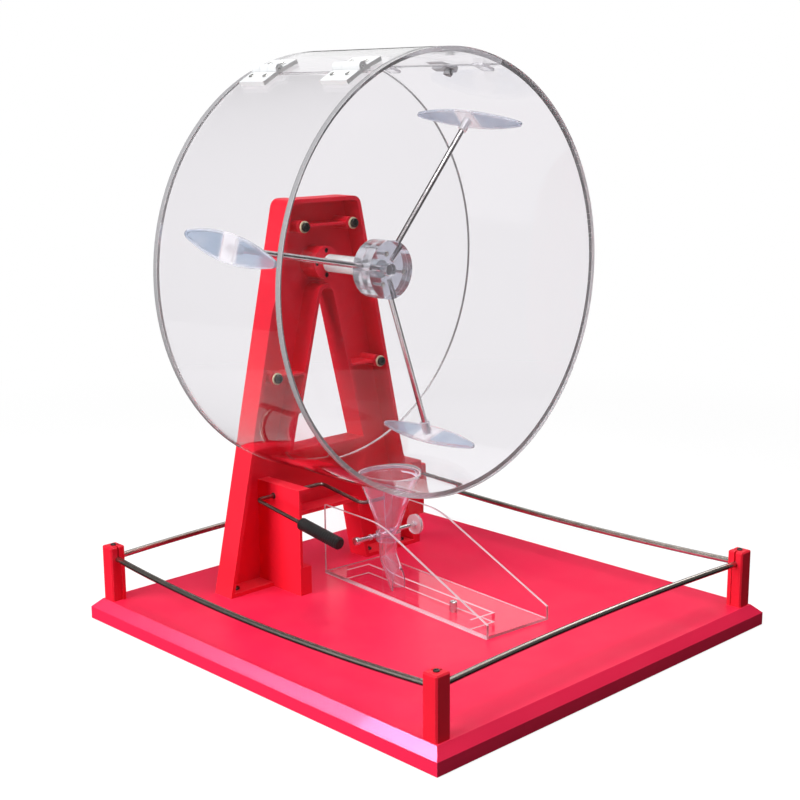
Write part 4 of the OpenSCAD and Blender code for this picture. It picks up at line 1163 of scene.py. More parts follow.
@dataclass
class Stand:
    """The A-shaped stand with its bracket, switch box and motor."""

    front_y: float = 147.0
    back_y: float = 174.5
    axis_z: float = AXIS_Z
    screw_ring: float = 13.0
    screw_sunk: float = 3.4
    bracket_screw_x: float = -71.0
    bracket_screw_zs: tuple[float, float] = (70, 112)
    gearbox_r: float = 18.5
    gearbox_len: float = 20.0
    bore_r: float = 4.05
    bore_len: float = 17.0
    can_gap: float = 0.05
    can_r: float = 15.0
    can_rim: float = 21.9
    can_len: float = 23.9
    tag_x: float = 9.0

    def motor(self) -> None:
        """Adds the gearbox and the motor can, turned from their profiles, with seams and a crimped end."""
        y, r, hole, deep = self.back_y, self.gearbox_r, self.bore_r, self.bore_len
        end, seam = y + self.gearbox_len, r - 0.4
        box = rounded(
            [(y, hole), (y, r), (y + 3, r), (y + 3.4, seam), (y + 16.6, seam), (y + 17, r),
             (end, r), (end, 0.0)],
            [0, 0.6, 0.2, 0.2, 0.2, 0.2, 0.6, 0],
            steps=3,
        )
        bore = np.array([[y + deep, 0.0], [y + deep, hole], [y, hole]])
        shape = turned(np.vstack([bore, box]), (0, 0, self.axis_z), (0, 1, 0))
        made("motor_gearbox", shape, MOTOR_STEEL)
        c, r = end + self.can_gap, self.can_r
        seam, rim, tail, cup = r - 0.3, c + self.can_rim, c + self.can_len, c + self.can_len - 0.7
        can = rounded(
            [(c, 0), (c, r), (c + 2, r), (c + 2.3, seam), (c + 18.5, seam), (c + 19, r), (rim, r), (rim, 5),
             (tail, 5), (tail, 2.4), (cup, 2.4), (cup, 0)],
            [0, 0.3, 0.2, 0.2, 0.2, 0.3, 1.4, 0.4, 0.4, 0.1, 0.1, 0],
            steps=4,
        )
        shapes = [turned(can, (0, 0, self.axis_z), (0, 1, 0))]
        half_w, half_t = 1.0, 0.4
        for x in (-self.tag_x, self.tag_x):
            low, high = x - half_w, x + half_w
            corners = [(low, -half_t), (high, -half_t), (high, half_t), (low, half_t)]
            tag = rounded(corners, 0.1, closed=True)
            tag_x, tag_z = tag[:, 0], self.axis_z + tag[:, 1]
            ring = [np.stack([tag_x, np.full(len(tag), v), tag_z], 1) for v in (rim - 0.4, tail)]
            middle = [np.repeat(end_ring.mean(0)[None], len(tag), 0) for end_ring in ring]
            shapes.append(surface(np.stack([middle[0], ring[0], ring[1], middle[1]]), wrap_cols=True))
        made("motor_can", joined(shapes), MOTOR_STEEL)

    def screws(self) -> None:
        """Adds the motor's four screws and the bracket's two, all with hexagon sockets."""
        motor = CapScrew(head_r=2.75, head_t=2.4, shank_r=1.5, shank_len=29.1)
        angles = np.radians([0, 90, 180, 270])
        ring = [(self.screw_ring * math.sin(a), self.screw_ring * math.cos(a)) for a in angles]
        head_y = self.front_y + self.screw_sunk
        shapes = [motor.shape((x, head_y, self.axis_z + z), (0, -1, 0)) for x, z in ring]
        side = CapScrew(head_r=2.75, head_t=2.4, shank_r=1.5, shank_len=9.0)
        x, y = self.bracket_screw_x, self.back_y
        shapes += [side.shape((x, y, z), (0, 1, 0)) for z in self.bracket_screw_zs]
        made("frame_screws", joined(shapes), DARK_STEEL)

    def build(self) -> None:
        """Builds the stand and what is fixed to it."""
        refined("a_frame", STAND, bevel=0.6)
        refined("left_bracket", STAND, bevel=0.5)
        refined("switch_box", STAND, bevel=0.5)
        refined("switch_housing", SWITCH, bevel=0.2)
        refined("switch_rocker", SWITCH, bevel=0.2, body=Body.SWITCH)
        refined("power_inlet", SWITCH, bevel=0.2)
        refined("shaft_bush", BRONZE, bevel=0.2)
        refined("lever_bush", NYLON, bevel=0.2)
        self.motor()
        self.screws()


# Drum


@dataclass
class Drum:
    """The clear drum: two discs, the curved wall with its outlet hole, and the lid."""

    radius: float = DRUM_R
    wall: float = 5.0
    axis_z: float = AXIS_Z
    front_y: float = -43.0
    back_y: float = 147.0
    disc: float = 6.0
    free_a: float = 19.0
    hinge_a: float = HINGE_A
    hole_r: float = 33.05
    hole_y: float = OUTLET_Y
    patch_a: float = 14.0
    glue: float = 0.05
    lid_gap_a: float = 0.15
    lid_gap_y: float = 0.4
    tab_len: float = 14.0
    tab_t: float = 3.0
    washer_t: float = 1.2
    bosses: tuple[tuple[float, float], ...] = ((-34, 403), (34, 403), (-72, 248), (72, 248))

    def patch(self, radius: float, xs: int, ys: np.ndarray, rings: int) -> np.ndarray:
        """The wall's floor round the outlet, on one radius.

        In plan it runs from a circle to a rectangle: each point of the rectangle's outline is joined
        straight to the circle's point in the same direction. Its height is axis_z less the root of
        r*r - x*x.

        Args:
            radius: the surface's radius.
            xs: spans across the rectangle.
            ys: places along the rectangle, the same as the rest of the wall's.
            rings: spans from the circle to the rectangle.

        Returns:
            A grid of rings by outline points, whose last column equals its first.
        """
        half = radius * math.sin(math.radians(self.patch_a))
        x = np.sin(np.radians(np.linspace(self.patch_a, -self.patch_a, xs + 1))) * radius
        n = len(ys)
        plan = np.vstack([
            np.stack([np.full(n, half), ys], 1),
            np.stack([x[1:], np.full(xs, ys[-1])], 1),
            np.stack([np.full(n - 1, -half), ys[-2::-1]], 1),
            np.stack([x[-2::-1], np.full(xs, ys[0])], 1),
        ])
        middle = np.array([0.0, self.hole_y])
        away = plan - middle
        circle = middle + away / np.linalg.norm(away, axis=1)[:, None] * self.hole_r
        s = np.linspace(0, 1, rings + 1)[:, None, None]
        flat = circle[None] * (1 - s) + plan[None] * s
        height = self.axis_z - np.sqrt(radius**2 - flat[..., 0] ** 2)
        return np.stack([flat[..., 0], flat[..., 1], height], -1)

    def wall_shape(self) -> Shape:
        """The curved wall: two bent plates beside the floor patch, and strips that close its edges and hole.

        Returns:
            The wall.
        """
        ys = np.linspace(self.front_y + self.disc + self.glue, self.back_y - self.disc - self.glue, 25)
        radii = (self.radius, self.radius - self.wall)
        shapes: list[Shape] = []
        for start, end in ((self.free_a, 180 - self.patch_a), (180 + self.patch_a, 360 - self.hinge_a)):
            a = np.radians(np.linspace(start, end, 97))[:, None]
            outer, inner = (bent(r, a, ys[None], self.axis_z) for r in radii)
            free_row = 0 if start == self.free_a else -1
            shapes += [surface(outer), surface(inner), surface(np.stack([outer[free_row], inner[free_row]]))]
            shapes += [surface(np.stack([outer[:, i], inner[:, i]])) for i in (0, -1)]
        xs = 20
        outer, inner = (self.patch(r, xs, ys, 10) for r in radii)
        shapes += [surface(outer), surface(inner), surface(np.stack([outer[0], inner[0]]))]
        n = len(ys)
        for first in (n - 1, 2 * n + xs - 2):
            part = slice(first, first + xs + 1)
            shapes.append(surface(np.stack([outer[-1, part], inner[-1, part]])))
        return joined(shapes)

    def tab(self, y0: float) -> Shape:
        """One tab under the lid's free edge, which steps down where the lid lies.

        Args:
            y0: where the tab starts along the drum.

        Returns:
            The tab.
        """
        inside = self.radius - self.wall
        low, high = inside - self.tab_t, inside - 0.03
        a = np.radians(np.array([16.5, 17.3, 18.1, 18.9, 19.0, 19.8, 20.6, 21.5]))[:, None]
        top = np.where(a < math.radians(18.95), inside - 0.3, high)
        y = np.linspace(y0, y0 + self.tab_len, 5)[None]
        outer, inner = (bent(r, a, y, self.axis_z) for r in (top, low))
        return shell_between(outer, inner)

    def build(self) -> None:
        """Builds the discs, the wall with its tabs, the lid and the screws that hold the drum."""
        r, t = self.radius, self.disc
        plate = rounded([(0, 0), (0, r), (t, r), (t, 0)], [0, 0.5, 0.5, 0], steps=3)
        front = turned(plate, (0, self.front_y, self.axis_z), (0, 1, 0), steps=256)
        front_disc = made("drum_front_disc", front, CLEAR)
        back_disc = refined("drum_back_disc", CLEAR, bevel=0.4, shrink=0.01)
        for piece in (front_disc, back_disc):
            saw_edges(piece, SAWN_EDGE, Sawn.OFF_DIRECTION)
        tabs = [self.tab(self.hole_y + shift) for shift in (-73, 59)]
        wall = joined([self.wall_shape(), *tabs])
        piece = made("drum_wall", wall, CLEAR, bevel=0.35)
        saw_edges(piece, SAWN_EDGE, Sawn.OFF_RADIUS)
        lid = curved_plate(
            (r - self.wall, r),
            (self.lid_gap_a - self.hinge_a, self.free_a - self.lid_gap_a),
            (self.front_y + t + self.lid_gap_y, self.back_y - t - self.lid_gap_y),
            self.axis_z,
            (48, 12),
        )
        piece = made("lid_panel", lid, CLEAR, Body.LID, bevel=0.4)
        saw_edges(piece, SAWN_EDGE, Sawn.OFF_RADIUS)
        head_y = self.back_y - t - self.washer_t
        screw = CapScrew(head_r=4.8, head_t=3.0, shank_r=2.5, shank_len=22.2, soft=0.6)
        heads = [screw.shape((x, head_y, z), (0, -1, 0)) for x, z in self.bosses]
        made("drum_screws", joined(heads), DARK_STEEL)
        hole, rim = 2.55, 6.3
        band = [(0, hole), (0, rim), (self.washer_t, rim), (self.washer_t, hole)]
        ring = rounded(band, 0.3, steps=3, closed=True)
        rings = [turned(ring, (x, head_y, z), (0, 1, 0), steps=48, closed=True) for x, z in self.bosses]
        made("drum_washers", joined(rings), WASHER)


@dataclass
class LidHardware:
    """Hinges, their pins and screws, and the turning catch."""

    radius: float = DRUM_R
    axis_z: float = AXIS_Z
    hinge_a: float = HINGE_A
    leaf_a: float = 3.285
    leaf_t: float = 4.0
    axis_r: float = 223.0
    spread: float = 59.0
    middle_y: float = OUTLET_Y
    screw_reach: float = 10.36
    pin_half: float = 18.5
    pin_r: float = 1.5

    def screws(self, side: int) -> Shape:
        """The four screws of the leaves on one side of the hinge line.

        Args:
            side: -1 on the drum and 1 on the lid.

        Returns:
            The screws.
        """
        screw = CapScrew(head_r=2.8, head_t=1.2, shank_r=1.5, shank_len=8.0)
        angle = side * self.leaf_a - self.hinge_a
        middles = [self.middle_y + end * self.spread for end in (-1, 1)]
        places = [middle + way * self.screw_reach for middle in middles for way in (-1, 1)]
        one = screw.shape((0, 0, self.radius + self.leaf_t), (0, 0, 1))
        return joined([one.turned_about_y(angle, (0, y, self.axis_z)) for y in places])

    def build(self) -> None:
        """Builds the hinges, pins, screws and catch."""
        for end in ("front", "back"):
            refined("hinge_fixed_" + end, HINGE, bevel=0.35)
            refined("hinge_lid_" + end, HINGE, bevel=0.35, body=Body.LID)
        half, r = self.pin_half, self.pin_r
        profile = rounded([(-half, 0), (-half, r), (half, r), (half, 0)], [0, 0.4, 0.4, 0], steps=3)
        pin = turned(profile, (0, 0, self.axis_r), (0, 1, 0), steps=32)
        middles = [self.middle_y + end * self.spread for end in (-1, 1)]
        pins = [pin.turned_about_y(-self.hinge_a, (0, y, self.axis_z)) for y in middles]
        made("hinge_pins", joined(pins), BRIGHT_STEEL)
        made("hinge_screws_drum", self.screws(-1), BRIGHT_STEEL)
        made("hinge_screws_lid", self.screws(1), BRIGHT_STEEL, Body.LID)
        refined("catch_bar", CATCH_GREY, bevel=0.2, body=Body.LID)
        refined("catch_knob", CATCH_GREY, bevel=0.5, body=Body.CATCH)


# Rotor


@dataclass
class Rotor:
    """Hub, shaft, three spokes and three leaf-shaped paddles."""

    axis_z: float = AXIS_Z
    middle_y: float = 59.5
    first_a: float = 40.5
    spoke_r: float = 3.0
    spoke_from: float = 11.0
    spoke_to: float = 191.97
    paddle_r: float = 193.0
    paddle_t: float = 3.0
    half_len: float = 70.0
    arc_r: float = 226.8
    arc_x: float = 212.8
    rim: float = 2.6
    pocket: float = 1.1
    block: float = 9.5
    tip: float = 3.0
    boss_len: float = 17.0
    boss_r: float = 5.0
    boss_bore: float = 3.05
    hub_ring: float = 18.0
    hub_half: float = 12.5
    sleeve_ys: tuple[float, float] = (72.05, 140.55)
    sleeve_r: float = 9.5
    sleeve_bore: float = 4.08
    twists: tuple[float, float, float] = (-5.5, -3.0, 8.0)

    def half_width(self, y: np.ndarray) -> np.ndarray:
        """Half the paddle's width: a long arc on each side, closed by a quarter ellipse at the tips.

        Args:
            y: places along the paddle.

        Returns:
            Half the width at each.
        """
        arc = np.sqrt(self.arc_r**2 - y**2) - self.arc_x
        past = np.clip((np.abs(y) - self.half_len + self.tip) / self.tip, 0, 1)
        return arc * np.sqrt(1 - past**2)

    def paddle(self) -> Shape:
        """One paddle, flat and pointing up: a leaf with a raised rim, two pockets and a middle block.

        Its top is the full height less the pocket's depth times a smooth step, s*s*(3 - 2*s), where s grows
        from 0 to 1 inside the rim, beside the block and short of the tips. Its boss is turned from a profile
        with a rounded foot. The plastic is milky along the rim, in the block and in the boss.

        Returns:
            The paddle.
        """
        y = self.half_len * np.sin(np.linspace(-math.pi / 2, math.pi / 2, 221))
        v = np.sin(np.linspace(-math.pi / 2, math.pi / 2, 49))
        width = self.half_width(y)[:, None]
        x = width * v[None]
        yy = np.broadcast_to(y[:, None], x.shape)
        slope = 0.7
        inside = np.clip((width - np.abs(x) - self.rim) / slope, 0, 1)
        beside = np.clip((np.abs(yy) - self.block) / slope, 0, 1)
        short = np.clip((self.half_len - 4.0 - np.abs(yy)) / slope, 0, 1)
        step = np.minimum(np.minimum(inside, beside), short)
        edge = np.sqrt(np.clip(1 - v**8, 0, 1))[None]
        low = self.paddle_r + 0.5 * (1 - edge)
        top = self.paddle_r + self.paddle_t - 0.5 * (1 - edge) - self.pocket * step**2 * (3 - 2 * step)
        faces = [np.stack([x, yy, np.broadcast_to(z, x.shape)], -1) for z in (top, low)]
        foot, head = self.paddle_r + self.paddle_t - self.boss_len, self.paddle_r - 0.02
        r, hole = self.boss_r, self.boss_bore
        boss = rounded(
            [(foot + 16.0, hole), (foot, hole), (foot, r), (head, r), (head, hole)],
            [0, 0.2, 0.8, 0.3, 0],
            steps=4,
        )
        leaf, post = shell_between(faces[0], faces[1]), turned(boss, (0, 0, 0), (0, 0, 1), steps=48)
        reach = np.abs(leaf.points[:, 0]) / np.maximum(self.half_width(leaf.points[:, 1]), 0.1)
        along = np.clip(1.2 - np.abs(np.abs(leaf.points[:, 1]) / self.block - 0.5) * 2, 0, 1)
        block = np.clip((self.block + 6.0 - np.abs(leaf.points[:, 1])) / 6.0, 0, 1)
        leaf.milk = np.maximum(np.maximum(0.55 * np.clip((reach - 0.75) / 0.12, 0, 1), block), 0.3 * along)
        post.milk = np.full(len(post.points), 0.8)
        return leaf + post

    def build(self) -> None:
        """Builds the rotor's pieces, each spoke and paddle at its own angle."""
        centre = (0, self.middle_y, self.axis_z)
        start, end, r = self.spoke_from, self.spoke_to, self.spoke_r
        rod = rounded([(start, 0), (start, r), (end, r), (end, 0)], [0, 0.4, 0.4, 0], steps=3)
        spoke, paddle = turned(rod, (0, 0, 0), (0, 0, 1), steps=48), self.paddle()
        angles = [self.first_a + 120 * i for i in range(3)]
        for i, (angle, twist) in enumerate(zip(angles, self.twists), start=1):
            made(f"spoke_{i}", spoke.turned_about_y(angle, centre), SPOKE_STEEL, Body.ROTOR)
            shape = paddle.twisted(twist).turned_about_y(angle, centre)
            made(f"paddle_{i}", shape, PADDLE_LILAC, Body.ROTOR, sharp=50)
        refined("rotor_shaft", SHAFT_STEEL, bevel=0.3, body=Body.ROTOR)
        for half in ("hub_front", "hub_back"):
            refined(half, HUB_LILAC, bevel=0.4, body=Body.ROTOR, shrink=0.01)
        (low, high), r, hole = self.sleeve_ys, self.sleeve_r, self.sleeve_bore
        section = [(low, hole), (low, r), (high, r), (high, hole)]
        tube = rounded(section, [0.2, 0.7, 0.7, 0.2], steps=4, closed=True)
        sleeve = turned(tube, (0, 0, self.axis_z), (0, 1, 0), closed=True)
        made("shaft_sleeve", sleeve, FROST, Body.ROTOR)
        screw = CapScrew(head_r=2.8, head_t=2.0, shank_r=1.5, shank_len=22.9, soft=0.3)
        one = screw.shape((0, screw.head_t - self.hub_half, self.hub_ring), (0, -1, 0))
        screws = joined([one.turned_about_y(angle + 60, centre) for angle in angles])
        made("hub_screws", screws, BRIGHT_STEEL, Body.ROTOR)


# Outlet


@dataclass
class Outlet:
    """Funnel, collar, chute and the gate in the neck."""

    y: float = OUTLET_Y
    neck_r: float = 10.5
    neck_z: float = 76.5
    neck_top: float = 86.5
    funnel_taper: float = 19.0
    funnel_flare: float = 3.0
    funnel_wall: float = 2.0
    flange_z: float = 144.6
    flange_r: float = 32.98
    lip_z: float = 149.98
    collar_r: float = 13.0
    chute_r: float = 9.5
    chute_wall: float = 1.2
    elbow_z: float = 60.0
    lean: float = 28.0
    bend_r: float = 22.0
    chute_foot_z: float = 25.55
    chute_mouth_y: float = 36.02
    gate_y: float = 60.5
    gate_z: float = 81.6
    pin_r: float = 2.5
    pin_xs: tuple[float, float] = (-40.6, 52.0)
    cap_r: float = 4.2
    cap_t: float = 5.0
    flat_z: float = 1.0
    wheel_xs: tuple[float, float, float] = (43.0, 46.0, 50.0)
    wheel_r: float = 11.0
    wheel_hub_r: float = 4.0
    wheel_bore: float = 2.55

    def funnel(self) -> Shape:
        """The funnel, turned from a straight taper with a flare of the fourth power near its flange.

        Returns:
            The funnel.
        """
        t = np.linspace(0, 1, 33)
        radius = self.neck_r + self.funnel_taper * t + self.funnel_flare * t**4
        height = self.neck_top + (self.flange_z - self.neck_top) * t
        foot, wall, lip, rim = self.neck_z + 0.02, self.funnel_wall, self.lip_z, self.flange_r
        soft = 0.38
        rows = np.vstack([
            [[foot, self.neck_r]],
            np.stack([height, radius], 1),
            [[self.flange_z, rim], [lip - soft, rim], [lip, rim - soft], [lip, 30.9], [lip - soft, 30.5]],
            np.stack([height, radius - wall], 1)[::-1],
            [[foot, self.neck_r - wall]],
        ])
        return turned(rows, (0, self.y, 0), (0, 0, 1), steps=128, closed=True)

    def chute_skin(self, radius: float) -> np.ndarray:
        """One skin of the chute: a circle carried down, round a bend and on along a slant to the cut mouth.

        On the slant each line runs on until it meets the level of the tray's floor or the plane of the mouth.

        Args:
            radius: the skin's radius.

        Returns:
            A grid of points, down by round.
        """
        lean = math.radians(self.lean)
        reach = self.bend_r * math.tan(lean / 2)
        a = np.linspace(0, lean, 17)
        top_z = self.elbow_z + reach
        bend = np.stack([self.y - self.bend_r * (1 - np.cos(a)), top_z - self.bend_r * np.sin(a)], 1)
        line = np.vstack([[[self.y, self.neck_z - 0.03]], bend])
        angle = np.concatenate([[0.0], a])
        t = np.linspace(0, 2 * math.pi, 72, endpoint=False)
        side, front = np.cos(t) * radius, np.sin(t) * radius
        x = np.broadcast_to(side[None], (len(line), len(t)))
        y = line[:, 0, None] - front[None] * np.cos(angle)[:, None]
        z = line[:, 1, None] + front[None] * np.sin(angle)[:, None]
        to_floor = (z[-1] - self.chute_foot_z) / math.cos(lean)
        to_mouth = (y[-1] - self.chute_mouth_y) / math.sin(lean)
        far = np.minimum(to_floor, to_mouth)
        s = np.linspace(0, 1, 13)[1:, None] * far[None]
        run_x = np.broadcast_to(side[None], s.shape)
        run_y, run_z = y[-1][None] - s * math.sin(lean), z[-1][None] - s * math.cos(lean)
        return np.concatenate([np.stack([x, y, z], -1), np.stack([run_x, run_y, run_z], -1)])

    def chute(self) -> Shape:
        """The chute: two skins, joined at the neck and round the mouth.

        Returns:
            The chute.
        """
        outer, inner = self.chute_skin(self.chute_r), self.chute_skin(self.chute_r - self.chute_wall)
        rims = [surface(np.stack([outer[i], inner[i]]), wrap_cols=True) for i in (0, -1)]
        return joined([surface(outer, wrap_cols=True), surface(inner, wrap_cols=True), *rims])

    def pin(self) -> Shape:
        """The gate pin: a round bar with a cap and a flat across the neck.

        Known fault: the flat's rows go in two rows too early, so the surface runs back over itself and a
        full round hides the flat.

        Returns:
            The pin.
        """
        (start, end), r, cap = self.pin_xs, self.pin_r, self.cap_r
        shoulder = start + self.cap_t
        rows = rounded(
            [(start, 0), (start, cap), (shoulder, cap), (shoulder, r), (end, r), (end, 0)],
            [0, 0.9, 0.4, 0.2, 0.5, 0],
            steps=4,
        )
        reach, top = self.neck_r, self.gate_z + self.flat_z
        flat_rows = np.array([[x, r] for x in (-reach - 0.01, -reach, reach, reach + 0.01)])
        before, after = rows[:-12], rows[-12:]
        profile = np.vstack([before, flat_rows, after])
        shape = turned(profile, (0, self.gate_y, self.gate_z), (1, 0, 0), steps=48)
        flat = (np.abs(shape.points[:, 0]) < reach + 0.005) & (shape.points[:, 2] > top)
        shape.points[flat, 2] = top
        return shape

    def build(self) -> None:
        """Builds the funnel, collar, chute, pin and wheel."""
        piece = made("outlet_funnel", self.funnel(), FUNNEL_CLEAR_PAINTED_PINK)
        saw_edges(piece, TRAY_EDGE_PAINTED_PINK, Sawn.LEVEL, limit=0.25)
        foot, top, r, hole = self.neck_z + 0.02, self.neck_top, self.collar_r, self.neck_r + 0.06
        section = [(foot, hole), (foot, r), (top, r), (top, hole)]
        band = rounded(section, [0.1, 0.8, 0.8, 0.3], steps=4, closed=True)
        ring = turned(band, (0, self.y, 0), (0, 0, 1), closed=True)
        made("neck_collar", ring, FUNNEL_CLEAR_PAINTED_PINK)
        made("chute_tube", self.chute(), FUNNEL_CLEAR_PAINTED_PINK, bevel=0.2)
        made("gate_pin", self.pin(), BRIGHT_STEEL, Body.GATE)
        (low, step, high), hub, rim, hole = self.wheel_xs, self.wheel_hub_r, self.wheel_r, self.wheel_bore
        section = [(low, hole), (low, hub), (step, hub), (step, rim), (high, rim), (high, hole)]
        wheel = rounded(section, [0.1, 0.5, 0.6, 0.8, 0.8, 0.1], steps=4, closed=True)
        shape = turned(wheel, (0, self.gate_y, self.gate_z), (1, 0, 0), closed=True)
        made("gate_wheel", shape, WHEEL_CLEAR, Body.GATE)


# Lever


@dataclass
class Lever:
    """The bent rod with its grip."""

    y: float = 144.0
    z: float = 122.75
    tilt: float = 8.45
    left_x: float = -102.0
    right_x: float = -12.0
    handle: float = 127.0
    gate_arm: float = 64.5
    stub_x: float = 20.0
    rod_r: float = 2.0
    bend_r: float = 6.0
    stop_xs: tuple[float, float] = (-66.2, -62.2)
    stop_r: float = 4.5
    grip_r: float = 6.5
    grip_ys: tuple[float, float] = (-131.0, -71.5)
    ripple: float = 0.1

    def tilted(self, shape: Shape) -> Shape:
        """Tilts a shape that is drawn flat about the pivot, so that its front end droops.

        Args:
            shape: the flat shape.

        Returns:
            The tilted shape in its place.
        """
        a = math.radians(self.tilt)
        turn = np.array([[1, 0, 0], [0, math.cos(a), -math.sin(a)], [0, math.sin(a), math.cos(a)]])
        return Shape(shape.points @ turn.T + np.array([0, self.y, self.z]), shape.faces)

    def build(self) -> None:
        """Builds the rod with its stop collar, and the grip, whose radius ripples like a cosine."""
        corners = [
            (self.left_x, -self.handle, 0), (self.left_x, 0, 0), (self.right_x, 0, 0),
            (self.right_x, -self.gate_arm, 0), (self.stub_x, -self.gate_arm, 0),
        ]
        path = rounded(corners, self.bend_r, steps=12)
        keep = np.concatenate([[True], np.linalg.norm(np.diff(path, axis=0), axis=1) > 1e-6])
        rod = swept(path[keep], self.rod_r, (0, 0, 1), sides=32)
        (low, high), r, hole = self.stop_xs, self.stop_r, self.rod_r
        band = rounded([(low, hole), (low, r), (high, r), (high, hole)], [0, 0.5, 0.5, 0], steps=4)
        stop = turned(band, (0, 0, 0), (1, 0, 0), steps=48)
        made("lever_rod", self.tilted(joined([rod, stop])), LEVER_STEEL, Body.LEVER, bevel=0.2)
        (low, high), r, hole, steps = self.grip_ys, self.grip_r, self.rod_r + 0.05, 8
        outline = [(low, 0), (low, r), (high, r), (high, hole), (high - 3.5, hole)]
        rows = rounded(outline, [0, 2.5, 2.5, 0.3, 0], steps=steps)
        along = np.linspace(low + 2.6, high - 2.6, 61)
        body = np.stack([along, r + self.ripple * np.cos(along * 1.9) - self.ripple], 1)
        cut = 2 * (steps + 1)
        profile = np.vstack([rows[:cut], body, rows[cut:]])
        grip = turned(profile, (self.left_x, 0, 0), (0, 1, 0), steps=64)
        made("lever_grip", self.tilted(grip), GRIP, Body.LEVER)


# Tray


@dataclass
class Tray:
    """The clear tray with its ball rail and stud."""

    corner: tuple[float, float] = (-13.0, 140.0)
    turn: float = -4.6
    stud: tuple[float, float] = (25.3, -184.6)

    def build(self) -> None:
        """Builds the tray's sheets, rail and stud."""
        a = math.radians(self.turn)
        side = (math.cos(a), math.sin(a), 0)
        for node, kind, direction in (
            ("tray_floor", Sawn.OFF_DIRECTION, (0, 0, 1)),
            ("tray_wall_left", Sawn.OFF_DIRECTION, side),
            ("tray_wall_right", Sawn.OFF_DIRECTION, side),
            ("ball_rail", Sawn.LEVEL, side),
        ):
            piece = refined(node, TRAY_CLEAR, bevel=0.3, shrink=0.02)
            saw_edges(piece, TRAY_EDGE_PAINTED_PINK, kind, direction)
        x = self.corner[0] + self.stud[0] * math.cos(a) - self.stud[1] * math.sin(a)
        y = self.corner[1] + self.stud[0] * math.sin(a) + self.stud[1] * math.cos(a)
        rows = rounded(
            [(21.5, 0), (21.5, 2), (24.5, 2), (24.5, 4), (34.5, 4), (34.5, 1.8), (32.8, 1.5), (32.8, 0)],
            [0, 0.1, 0, 0.3, 1.0, 0.2, 0.1, 0],
            steps=4,
        )
        made("rail_stud", turned(rows, (x, y, 0), (0, 0, 1), steps=48), BRIGHT_STEEL)


# Studio


